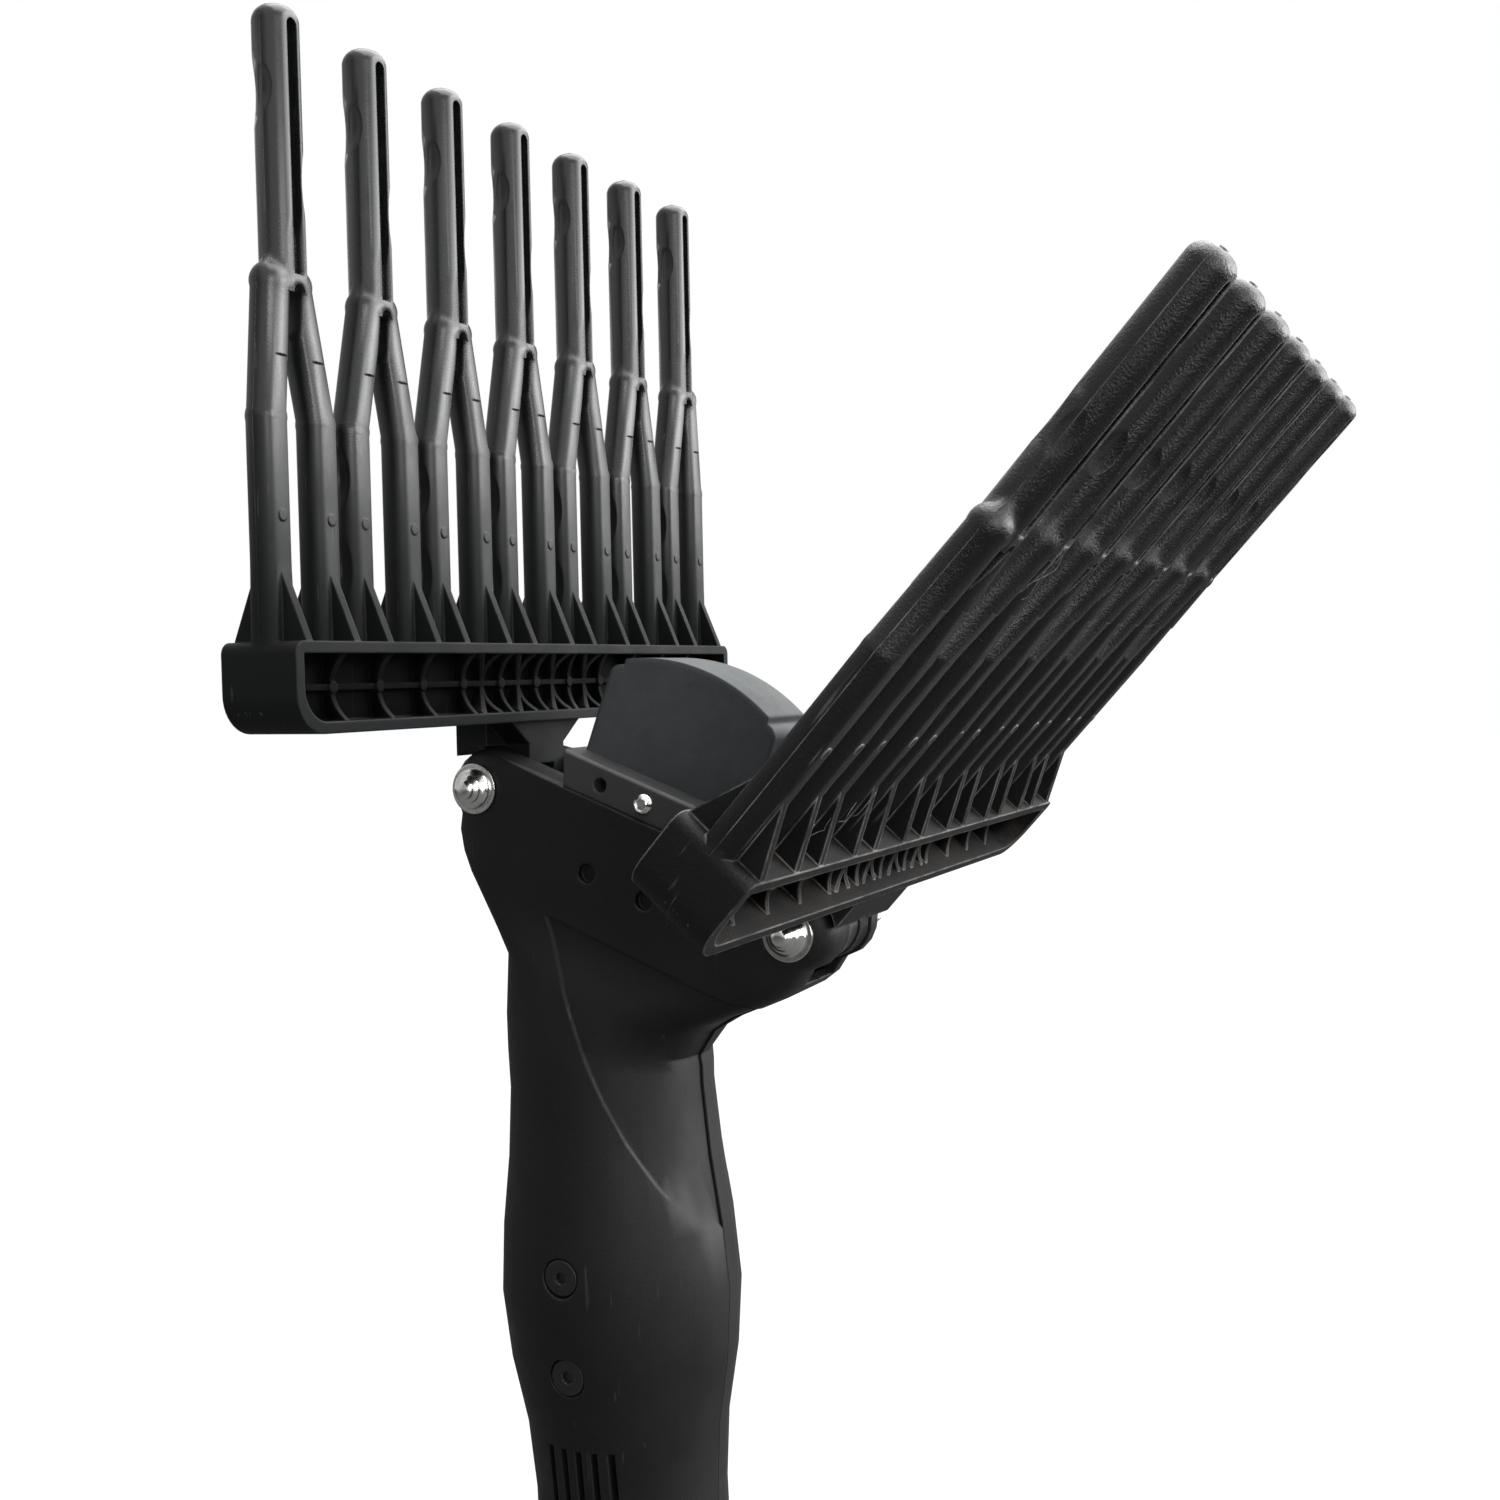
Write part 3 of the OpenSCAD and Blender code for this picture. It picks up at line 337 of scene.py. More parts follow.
def round_node(node, radius, steps):
    """Rounds a solid's edges with modifiers: flat faces are merged, then sharp edges are bevelled."""
    node.modifiers.remove(node.modifiers["keep_edges"])
    flat = node.modifiers.new("merge_flat_faces", "DECIMATE")
    flat.decimate_type = "DISSOLVE"
    flat.angle_limit = FLAT_ANGLE
    soft = node.modifiers.new("round_edges", "BEVEL")
    soft.width = radius
    soft.segments = steps
    soft.limit_method = "ANGLE"
    soft.angle_limit = SHARP_ANGLE
    soft.use_clamp_overlap = True
    shade = node.modifiers.new("even_shading", "WEIGHTED_NORMAL")
    shade.keep_sharp = True


for node_name, (radius, steps) in ROUNDED.items():
    round_node(nodes[node_name], radius, steps)
    print(node_name, "rounded by", radius / MM, "mm")

# %% [markdown]
# ## Shared surface effects
# Four effects return on many of the finishes: the fine grain that an eroded mould leaves, edges rubbed pale
# (which on the right comb also serve as a painted highlight), thin scuffs and settled dust. They could be
# built again in each material. As node groups with named inputs they are built once, and each material sets
# its own values.

# %% Grain and pale edges: wear and painted highlight
NUMBER = "NodeSocketFloat"
ARROW = "NodeSocketVector"
NOISE_MIDDLE = 0.5
BROAD_SHARE = 0.02
SPECKLE_SHARE = 0.25


def start_group(name, inputs, outputs):
    """An empty shader node group with its sockets."""
    group = bpy.data.node_groups.new(name, "ShaderNodeTree")
    for label, kind, value in inputs:
        socket = group.interface.new_socket(label, in_out="INPUT", socket_type=kind)
        if value is not None:
            socket.default_value = value
    for label, kind in outputs:
        group.interface.new_socket(label, in_out="OUTPUT", socket_type=kind)
    return group, place_node(group, "NodeGroupInput"), place_node(group, "NodeGroupOutput")


def make_grain():
    """Grain of a moulded surface: a height for the bump and an uneven roughness."""
    group, given, result = start_group(
        "moulded_grain",
        [("Vector", ARROW, None), ("Scale", NUMBER, 2500.0), ("Low", NUMBER, 0.4), ("High", NUMBER, 0.55)],
        [("Height", NUMBER), ("Roughness", NUMBER)])
    fine = noise(group, given.outputs["Vector"], given.outputs["Scale"], detail=3.0, roughness=0.6)
    broad_scale = product(group, given.outputs["Scale"], BROAD_SHARE)
    broad = noise(group, given.outputs["Vector"], broad_scale, detail=4.0, roughness=0.6)
    uneven = remap(group, broad, low=0.3, high=0.7,
                   to_low=given.outputs["Low"], to_high=given.outputs["High"])
    speckle = product(group, calculate(group, "SUBTRACT", fine, NOISE_MIDDLE), SPECKLE_SHARE)
    group.links.new(fine, result.inputs["Height"])
    group.links.new(calculate(group, "ADD", uneven, speckle), result.inputs["Roughness"])
    return group


def make_rubbed_and_highlight_edges():
    """Pale edges, rubbed wear and on the right comb also a painted highlight: where a rounded normal leaves
    the true one, broken up by noise.
    """
    group, given, result = start_group(
        "rubbed_and_highlight_edges",
        [("Vector", ARROW, None), ("Radius", NUMBER, 0.6 * MM), ("Patches", NUMBER, 120.0)],
        [("Mask", NUMBER)])
    rounded = place_node(group, "ShaderNodeBevel", samples=4)
    group.links.new(given.outputs["Radius"], rounded.inputs["Radius"])
    true_normal = place_node(group, "ShaderNodeNewGeometry")
    alike = place_node(group, "ShaderNodeVectorMath", operation="DOT_PRODUCT")
    group.links.new(rounded.outputs[0], alike.inputs[0])
    group.links.new(true_normal.outputs["Normal"], alike.inputs[1])
    edge = remap(group, alike.outputs["Value"], low=0.99, high=0.8)
    patches = noise(group, given.outputs["Vector"], given.outputs["Patches"], detail=5.0, roughness=0.65)
    broken = remap(group, patches, low=0.35, high=0.65, to_low=0.15)
    group.links.new(product(group, edge, broken), result.inputs["Mask"])
    return group


GROUPS = {"grain": make_grain(), "edges": make_rubbed_and_highlight_edges()}
print("node groups:", [group.name for group in GROUPS.values()])

# %% Scuffs and dust
PATCH_SCALE = 70.0
CLOUD_SHARE = 0.6


def make_scuffs():
    """Thin pale scuffs: a noise drawn out along Z and cut to narrow lines."""
    group, given, result = start_group(
        "thin_scuffs",
        [("Vector", ARROW, None), ("Scale", NUMBER, 900.0), ("Length", NUMBER, 0.04)],
        [("Mask", NUMBER)])
    stretch = place_node(group, "ShaderNodeCombineXYZ")
    stretch.inputs["X"].default_value = 1
    stretch.inputs["Y"].default_value = 1
    group.links.new(given.outputs["Length"], stretch.inputs["Z"])
    drawn = place_node(group, "ShaderNodeVectorMath", operation="MULTIPLY")
    group.links.new(given.outputs["Vector"], drawn.inputs[0])
    group.links.new(stretch.outputs[0], drawn.inputs[1])
    lines = noise(group, drawn.outputs[0], given.outputs["Scale"])
    patches = noise(group, given.outputs["Vector"], PATCH_SCALE, detail=3.0, roughness=0.6)
    narrow = remap(group, lines, low=0.66, high=0.74)
    cut = product(group, narrow, remap(group, patches, low=0.5, high=0.68))
    group.links.new(cut, result.inputs["Mask"])
    return group


def make_dust():
    """Dust on what faces upwards, in soft clouds with a few specks."""
    group, given, result = start_group(
        "settled_dust",
        [("Vector", ARROW, None), ("Clouds", NUMBER, 60.0), ("Specks", NUMBER, 1400.0)],
        [("Mask", NUMBER)])
    geometry = place_node(group, "ShaderNodeNewGeometry")
    parts = place_node(group, "ShaderNodeSeparateXYZ")
    group.links.new(geometry.outputs["Normal"], parts.inputs[0])
    upward = remap(group, parts.outputs["Z"], low=0.1, high=0.95, to_low=0.05)
    cloudy = noise(group, given.outputs["Vector"], given.outputs["Clouds"], detail=4.0, roughness=0.6)
    clouds = remap(group, cloudy, low=0.4, high=0.75)
    spotted = noise(group, given.outputs["Vector"], given.outputs["Specks"], detail=1.0)
    specks = remap(group, spotted, low=0.7, high=0.78)
    laid = calculate(group, "MAXIMUM", product(group, clouds, CLOUD_SHARE), specks)
    group.links.new(product(group, upward, laid), result.inputs["Mask"])
    return group


GROUPS["scuffs"] = make_scuffs()
GROUPS["dust"] = make_dust()
print("node groups:", [group.name for group in GROUPS.values()])

# %% [markdown]
# ## Starting a finish
# All finishes begin alike: a Principled shader, coordinates that move with the object, some of the shared
# effects, and edges that look slightly round. Rounding every edge in the mesh would cost many faces. The
# Bevel node rounds only the shading, which is enough at this size.

# %% Material helpers
FINISHES = {}


def start_finish(name, roughness=0.5, metallic=0.0, specular=0.5):
    """A new material with its Principled shader and Object coordinates."""
    material = bpy.data.materials.new(name)
    material.use_nodes = True
    tree = material.node_tree
    shader = tree.nodes["Principled BSDF"]
    shader.inputs["Roughness"].default_value = roughness
    shader.inputs["Metallic"].default_value = metallic
    shader.inputs["Specular IOR Level"].default_value = specular
    place = place_node(tree, "ShaderNodeTexCoord").outputs["Object"]
    return material, tree, shader, place


def use_group(tree, name, vector, **values):
    """One of the shared effects, placed in a material with its own values: its outputs."""
    node = place_node(tree, "ShaderNodeGroup", node_tree=GROUPS[name])
    tree.links.new(vector, node.inputs["Vector"])
    for label, value in values.items():
        node.inputs[label].default_value = value
    return node.outputs


def lay_over(tree, colour, mask, share, over):
    """A second colour laid over the first by a share of a mask."""
    return blend_colours(tree, product(tree, mask, share), colour, over)


def round_and_bump(tree, shader, height, depth, edge_radius, strength=1.0):
    """Softly rounded edges with the grain's bump on top."""
    rounded = place_node(tree, "ShaderNodeBevel", samples=8)
    feed(tree, rounded.inputs["Radius"], edge_radius)
    bump = place_node(tree, "ShaderNodeBump")
    bump.inputs["Distance"].default_value = depth
    bump.inputs["Strength"].default_value = strength
    tree.links.new(height, bump.inputs["Height"])
    tree.links.new(rounded.outputs[0], bump.inputs["Normal"])
    tree.links.new(bump.outputs[0], shader.inputs["Normal"])


def keep_finish(name, material):
    """Keeps a finish under the name of its slot or node."""
    FINISHES[name] = material
    print(name, "finish:", len(material.node_tree.nodes), "shader nodes")


material_helpers = (start_finish, use_group, lay_over, round_and_bump, keep_finish)
print("material helpers:", [helper.__name__ for helper in material_helpers])

# %% [markdown]
# ## Comb plastic
# The combs are glass-filled nylon, black with a satin sheen. The mould left a fine grain, branches rubbed
# the finger ends, forks and bar ends pale, and brown dust sits in the pockets of the bar. The deep part of
# the pockets is also darkened with painted shade. The thick fingers and legs shrank a little as they cooled
# and have shallow sink marks. Dents and wear could be painted or sculpted, but here masks are worked out
# from heights in the comb's own frame. A Mapping node carries the object's coordinates into that frame, so
# one set of masks serves both combs.

# %% Comb sizes
COMB_X = 2.6
TIP_HEIGHT = 161 * MM
FORK_HEIGHT = 107 * MM
BAR_TOP = 34.4 * MM
BAR_BOTTOM = 15.8 * MM
FINGER_PITCH = 28 * MM


def comb_axes(tree, place, side):
    """Coordinates in a comb's frame: all three, the distance off its middle plane, along and up."""
    into_comb = place_node(tree, "ShaderNodeMapping", vector_type="TEXTURE")
    into_comb.inputs["Location"].default_value = comb_pin[side]
    into_comb.inputs["Rotation"].default_value = (0, comb_turn[side], 0)
    tree.links.new(place, into_comb.inputs["Vector"])
    parts = place_node(tree, "ShaderNodeSeparateXYZ")
    tree.links.new(into_comb.outputs[0], parts.inputs[0])
    off_middle = calculate(tree, "SUBTRACT", parts.outputs["X"], comb_facing[side] * COMB_X * MM)
    return into_comb.outputs[0], off_middle, parts.outputs["Y"], parts.outputs["Z"]


def distance_from(tree, value, level):
    """How far a value is from a level, on either side."""
    return calculate(tree, "ABSOLUTE", calculate(tree, "SUBTRACT", value, level))


print("comb:", round((TIP_HEIGHT - BAR_BOTTOM) / MM, 1), "mm from the bar to the tips")

# %% Comb pockets
HOLLOW_RIM = 6.2 * MM
HOLLOW_FLOOR = 2.6 * MM
POCKET_HIGH = BAR_TOP + 1 * MM
POCKET_FULL = BAR_TOP - 3 * MM
POCKET_LOW = BAR_BOTTOM + 2 * MM
POCKET_BASE = BAR_BOTTOM + 3 * MM
POCKET_END = 92.8 * MM
POCKET_INSIDE = 92.2 * MM


def pocket_masks(tree, off_middle, along, height):
    """The open bar between its end walls, and the deep part of its pockets, where shade is painted."""
    in_bar = remap(tree, height, POCKET_HIGH, POCKET_FULL)
    inside = remap(tree, calculate(tree, "ABSOLUTE", along), POCKET_END, POCKET_INSIDE)
    above = remap(tree, height, POCKET_LOW, POCKET_BASE)
    pocket = product(tree, inside, product(tree, above, in_bar))
    # The deep part of the pockets carries the painted shade.
    deep = remap(tree, calculate(tree, "ABSOLUTE", off_middle), HOLLOW_RIM, HOLLOW_FLOOR)
    return pocket, product(tree, deep, pocket)


print("pockets:", round((POCKET_FULL - POCKET_BASE) / MM, 1), "mm high")

# %% Sink marks on the combs
SINK_WIDTH = 2.4 * MM
SINK_LENGTH = 5 * MM
SINK_DEPTH = 0.55 * MM
SINK_HIGH = 144 * MM
SINK_LOW = 125 * MM
SINK_SWAP = 1 * MM
LEG_SINKS = (50 * MM, 69 * MM)
LEG_SINK_LENGTH = 7 * MM
LEG_FLANK = -8 * MM
LEG_FLANK_IN = -9 * MM
LAST_LEG = 90 * MM
LAST_LEG_IN = 88 * MM


def oval_dent(tree, across, height, level, length):
    """A smooth dip, deepest at one level and gone at the rim of an oval."""
    up = calculate(tree, "DIVIDE", calculate(tree, "SUBTRACT", height, level), length)
    squares = calculate(tree, "ADD", product(tree, across, across), product(tree, up, up))
    return remap(tree, squares, low=1.0, high=0.0)


def sink_marks(tree, side, off_middle, along, height):
    """Sink marks: a low and a high one on the two flanks of each finger, and two on each outer leg."""
    across = calculate(tree, "DIVIDE", off_middle, SINK_WIDTH)
    row = calculate(tree, "WRAP", along, FINGER_PITCH / 2)
    row.node.inputs[2].default_value = -FINGER_PITCH / 2
    sideways = product(tree, row, comb_facing[side])
    level = remap(tree, sideways, SINK_SWAP, -SINK_SWAP, SINK_LOW, SINK_HIGH)
    dents = oval_dent(tree, across, height, level, SINK_LENGTH)
    flank = remap(tree, sideways, LEG_FLANK, LEG_FLANK_IN)
    not_last = remap(tree, calculate(tree, "ABSOLUTE", along), LAST_LEG, LAST_LEG_IN)
    outer_flank = product(tree, flank, not_last)
    for leg_level in LEG_SINKS:
        leg_dent = oval_dent(tree, across, height, leg_level, LEG_SINK_LENGTH)
        dents = calculate(tree, "MAXIMUM", dents, product(tree, outer_flank, leg_dent))
    return dents


print("sink marks:", SINK_DEPTH / MM, "mm deep")

# %% Wear on the combs
TIP_RUB = 9 * MM
FORK_RUB = 4 * MM
FORK_BARE = 0.3 * MM
ROOT_RUB = 9 * MM
ROOT_BARE = 0.5 * MM
ROOT_SHARE = 0.6
RUB_SCALE = 620.0


def rubbed_places(tree, local, height):
    """Where branches rub a comb pale: tips, forks and, less so, the roots on the bar."""
    tips = remap(tree, height, TIP_HEIGHT - TIP_RUB, TIP_HEIGHT)
    forks = remap(tree, distance_from(tree, height, FORK_HEIGHT), FORK_RUB, FORK_BARE)
    roots = remap(tree, distance_from(tree, height, BAR_TOP), ROOT_RUB, ROOT_BARE)
    low_down = calculate(tree, "MAXIMUM", forks, product(tree, roots, ROOT_SHARE))
    patches = remap(tree, noise(tree, local, RUB_SCALE, detail=6.0, roughness=0.7), low=0.66, high=0.78)
    return product(tree, calculate(tree, "MAXIMUM", tips, low_down), patches)


print("tips rubbed over", TIP_RUB / MM, "mm")

# %% [markdown]
# ## Comb finishes
# The masks now become one finish for each comb. In the photograph the left comb looks smooth and the right
# one grainy and more worn, so a small table holds what differs. The table also holds painted light: the
# right comb's darker black is painted shade on the same plastic, and its brighter edges are partly a painted
# highlight. The fingers are polished and the bar is dull, which a ramp over the height gives with no second
# material. At the forks the plastic flows into broad curves, and a larger radius in the Bevel node shows
# that without more faces.

# %% Comb finishes
# The right comb's darker black is painted shade, and its paler edge colour at full share is partly a painted
# highlight.
COMB_LOOKS = {
    "left": {"black": (0.0100, 0.0108, 0.0115), "edge": (0.21, 0.21, 0.212),
             "grain_scale": 2600.0, "grain_depth": 0.01 * MM, "wear": 0.3, "dust": 0.12,
             "edge_wear_and_highlight": 0.2, "bar_gloss": 0.12, "finger_gloss": 0.56},
    "right": {"black": (0.0062, 0.0066, 0.0070), "edge": (0.42, 0.42, 0.41),
              "grain_scale": 2100.0, "grain_depth": 0.16 * MM, "wear": 0.5, "dust": 0.25,
              "edge_wear_and_highlight": 1.0, "bar_gloss": 0.2, "finger_gloss": 0.46},
}
COMB_PALE = (0.27, 0.27, 0.265)
COMB_DUST = (0.085, 0.062, 0.042)
# Painted shade: the deep pockets are darkened towards black and their reflections dimmed, standing in for
# the shade that falls there.
PAINTED_SHADE_BLACK = (0.002, 0.002, 0.002)
PAINTED_SHADE_SHARE = 0.8
PAINTED_SHADE_DULL = 0.85
POLISH_FROM = BAR_TOP - 1 * MM
POLISH_TO = BAR_TOP + 66 * MM
BAR_ROUGHER = 0.3
RUB_ROUGHER = 0.25
EDGE_ROUND = 0.6 * MM
FLARE_ROUND = 2.6 * MM
FLARE_FROM = 14 * MM
FLARE_TO = 7 * MM


def comb_colour(tree, local, look, pocket, painted_shade, rubbed):
    """Black with pale edges and scuffs, brown dust in the pockets, rubbed places and painted shade in the
    hollows; on the right comb the pale edges are partly a painted highlight.
    """
    edges = use_group(tree, "edges", local, Radius=0.7 * MM, Patches=90.0)
    scuffs = use_group(tree, "scuffs", local, Scale=1100.0, Length=0.05)
    dusty = use_group(tree, "dust", local, Clouds=75.0, Specks=1500.0)
    clouds = remap(tree, noise(tree, local, scale=95.0, detail=5.0, roughness=0.65), low=0.45, high=0.7)
    # The pale edges are partly wear and partly a painted highlight, strongest on the right comb, where they
    # stand for thin lips catching light.
    colour = lay_over(tree, look["black"], edges["Mask"], share=look["edge_wear_and_highlight"], over=look["edge"])
    colour = lay_over(tree, colour, scuffs["Mask"], share=0.35, over=COMB_PALE)
    colour = lay_over(tree, colour, product(tree, pocket, clouds), share=look["dust"], over=COMB_DUST)
    colour = lay_over(tree, colour, dusty["Mask"], share=0.3, over=COMB_DUST)
    colour = blend_colours(tree, rubbed, colour, COMB_PALE)
    # Painted shade laid over the deep pockets.
    return lay_over(tree, colour, painted_shade, share=PAINTED_SHADE_SHARE, over=PAINTED_SHADE_BLACK)


def between(tree, share, at_none, at_full):
    """A value on the straight line from one number to another, as a mask goes from 0 to 1."""
    line = calculate(tree, "MULTIPLY_ADD", share, at_full - at_none)
    line.node.inputs[2].default_value = at_none
    return line


def comb_finish(side):
    """Satin black plastic of one comb, with the wear in that comb's frame."""
    material, tree, shader, place = start_finish(f"{side}_comb_plastic", specular=0.6)
    look = COMB_LOOKS[side]
    local, off_middle, along, height = comb_axes(tree, place, side)
    pocket, painted_shade = pocket_masks(tree, off_middle, along, height)
    rubbed = product(tree, rubbed_places(tree, local, height), look["wear"])
    colour = comb_colour(tree, local, look, pocket, painted_shade, rubbed)
    tree.links.new(colour, shader.inputs["Base Color"])

    grain = use_group(tree, "grain", local, Scale=look["grain_scale"], Low=0.2, High=0.33)
    polish = remap(tree, height, POLISH_FROM, POLISH_TO)
    matt = between(tree, polish, BAR_ROUGHER, 0.0)
    worn = calculate(tree, "ADD", product(tree, rubbed, RUB_ROUGHER), matt)
    tree.links.new(calculate(tree, "ADD", grain["Roughness"], worn), shader.inputs["Roughness"])
    gloss = between(tree, polish, look["bar_gloss"], look["finger_gloss"])
    # Painted shade also dims the reflections in the deep pockets.
    kept = calculate(tree, "SUBTRACT", 1.0, product(tree, painted_shade, PAINTED_SHADE_DULL))
    tree.links.new(product(tree, gloss, kept), shader.inputs["Specular IOR Level"])

    dents = sink_marks(tree, side, off_middle, along, height)
    sunk = product(tree, dents, SINK_DEPTH / look["grain_depth"])
    surface = calculate(tree, "SUBTRACT", grain["Height"], sunk)
    from_fork = distance_from(tree, height, FORK_HEIGHT)
    flare = remap(tree, from_fork, FLARE_FROM, FLARE_TO, EDGE_ROUND, FLARE_ROUND)
    round_and_bump(tree, shader, surface, look["grain_depth"], flare)
    return material


for side in ("left", "right"):
    keep_finish(f"{side}_comb", comb_finish(side))

# %% [markdown]
# ## Casing plastic
# The two handle shells are matt black with a very fine grain, a little paler along the worn edges. They
# meet on the plane Y = 0, where a thin shadow line runs round the handle. A groove in the mesh would need
# thin faces all the way round, so the line is a narrow mask on Y that darkens the colour and dips the bump.

# %% Casing finish
CASING_BLACK = (0.0085, 0.0087, 0.0091)
CASING_EDGE = (0.045, 0.046, 0.047)
CASING_ROUND = 0.9 * MM
CASING_GRAIN = 0.04 * MM
SEAM_HALF = 0.3 * MM
SEAM_CORE = 0.09 * MM
SEAM_SHADOW_BLACK = (0.001, 0.001, 0.001)
SEAM_SHADE = 0.9
SEAM_DIP = 6.0


def casing_finish():
    """Matt black shells with fine grain, worn edges and the painted shadow of the parting line."""
    material, tree, shader, place = start_finish("casing_plastic", specular=0.24)
    grain = use_group(tree, "grain", place, Scale=3200.0, Low=0.46, High=0.6)
    edges = use_group(tree, "edges", place, Radius=CASING_ROUND, Patches=70.0)
    scuffs = use_group(tree, "scuffs", place, Scale=700.0, Length=0.06)
    dusty = use_group(tree, "dust", place, Clouds=45.0, Specks=1700.0)
    parts = place_node(tree, "ShaderNodeSeparateXYZ")
    tree.links.new(place, parts.inputs[0])
    seam = remap(tree, calculate(tree, "ABSOLUTE", parts.outputs["Y"]), SEAM_HALF, SEAM_CORE)
    colour = lay_over(tree, CASING_BLACK, edges["Mask"], share=0.6, over=CASING_EDGE)
    colour = lay_over(tree, colour, scuffs["Mask"], share=0.12, over=COMB_PALE)
    colour = lay_over(tree, colour, dusty["Mask"], share=0.18, over=COMB_DUST)
    # Painted shadow: the parting line is darkened where shade falls in the gap between the shells.
    colour = lay_over(tree, colour, seam, share=SEAM_SHADE, over=SEAM_SHADOW_BLACK)
    tree.links.new(colour, shader.inputs["Base Color"])
    tree.links.new(grain["Roughness"], shader.inputs["Roughness"])
    height = calculate(tree, "SUBTRACT", grain["Height"], product(tree, seam, SEAM_DIP))
    round_and_bump(tree, shader, height, CASING_GRAIN, CASING_ROUND)
    return material


keep_finish("casing", casing_finish())

# %% [markdown]
# ## Rubber bumper
# The bumper is slate grey rubber with a dull, slightly mottled skin, dusty on its arched top. One even grey
# would look like painted metal. So two greys are mixed by a soft noise, and the shared dust goes over them.

# %% Bumper finish
RUBBER_SLATE = (0.094, 0.103, 0.108)
RUBBER_DARK = (0.068, 0.074, 0.079)
RUBBER_DUST = (0.16, 0.15, 0.13)
RUBBER_GRAIN = 0.05 * MM
RUBBER_ROUND = 1.8 * MM
MOTTLE_SCALE = 160.0


def bumper_finish():
    """Dull slate rubber with a mottled skin and a dusty top."""
    material, tree, shader, place = start_finish("bumper_rubber", specular=0.3)
    grain = use_group(tree, "grain", place, Scale=1800.0, Low=0.58, High=0.74)
    dusty = use_group(tree, "dust", place, Clouds=110.0, Specks=900.0)
    mottle = remap(tree, noise(tree, place, MOTTLE_SCALE, detail=5.0, roughness=0.65), low=0.35, high=0.7)
    colour = lay_over(tree, RUBBER_SLATE, mottle, share=0.5, over=RUBBER_DARK)
    colour = lay_over(tree, colour, dusty["Mask"], share=0.75, over=RUBBER_DUST)
    tree.links.new(colour, shader.inputs["Base Color"])
    tree.links.new(grain["Roughness"], shader.inputs["Roughness"])
    round_and_bump(tree, shader, grain["Height"], RUBBER_GRAIN, RUBBER_ROUND)
    return material


keep_finish("bumper_rubber", bumper_finish())

# %% [markdown]
# ## Black plastics and fibre
# The bumper's holder, the faces of the front screws and some inner pieces are plain black and differ only
# in shade, gloss and how round their edges are. Three materials could be written out, but one function and
# a table say the same and stay in step. The fibres caught on the comb need only two pale greys.

# %% Black plastics and fibre
PLASTIC_GRAIN = 0.03 * MM
BLACK_PLASTICS = {
    "bracket": {"name": "bracket_plastic", "black": (0.056, 0.057, 0.057),
                "low": 0.42, "high": 0.55, "edge_radius": 0.8 * MM},
    "screw_black": {"name": "screw_black", "black": (0.012, 0.012, 0.0125),
                    "low": 0.42, "high": 0.55, "edge_radius": 0.3 * MM},
    "dark_plastic": {"name": "dark_plastic", "black": (0.02, 0.02, 0.021),
                     "low": 0.45, "high": 0.6, "edge_radius": 0.4 * MM},
}
FIBRE_DARK = (0.16, 0.155, 0.145)
FIBRE_PALE = (0.34, 0.335, 0.32)


def black_plastic_finish(name, black, low, high, edge_radius):
    """Plain black plastic for the bracket, the screw faces and the inner pieces."""
    material, tree, shader, place = start_finish(name, specular=0.4)
    grain = use_group(tree, "grain", place, Scale=3000.0, Low=low, High=high)
    edges = use_group(tree, "edges", place, Radius=edge_radius, Patches=120.0)
    dusty = use_group(tree, "dust", place, Clouds=80.0, Specks=1600.0)
    colour = lay_over(tree, black, edges["Mask"], share=0.6, over=CASING_EDGE)
    colour = lay_over(tree, colour, dusty["Mask"], share=0.4, over=RUBBER_DUST)
    tree.links.new(colour, shader.inputs["Base Color"])
    tree.links.new(grain["Roughness"], shader.inputs["Roughness"])
    round_and_bump(tree, shader, grain["Height"], PLASTIC_GRAIN, edge_radius)
    return material


def fibre_finish():
    """Pale, slightly uneven thread."""
    material, tree, shader, place = start_finish("fibre", roughness=0.7, specular=0.2)
    uneven = remap(tree, noise(tree, place, scale=900.0, detail=3.0), low=0.35, high=0.65)
    tree.links.new(blend_colours(tree, uneven, FIBRE_DARK, FIBRE_PALE), shader.inputs["Base Color"])
    return material


for slot, values in BLACK_PLASTICS.items():
    keep_finish(slot, black_plastic_finish(**values))
keep_finish("fibre", fibre_finish())

# %% [markdown]
# ## Metals
# The pivot bolts and the bumper screw are bright zinc-plated steel with faint rubbing marks. The case
# screws are blackened steel. The levers in the comb hubs are darkened, the shafts and gears inside are plain
# ground steel, the bushes are bronze, and the socket and gearbox are turned alloy. One function makes them
# all from a table, so that a new metal is one more line.

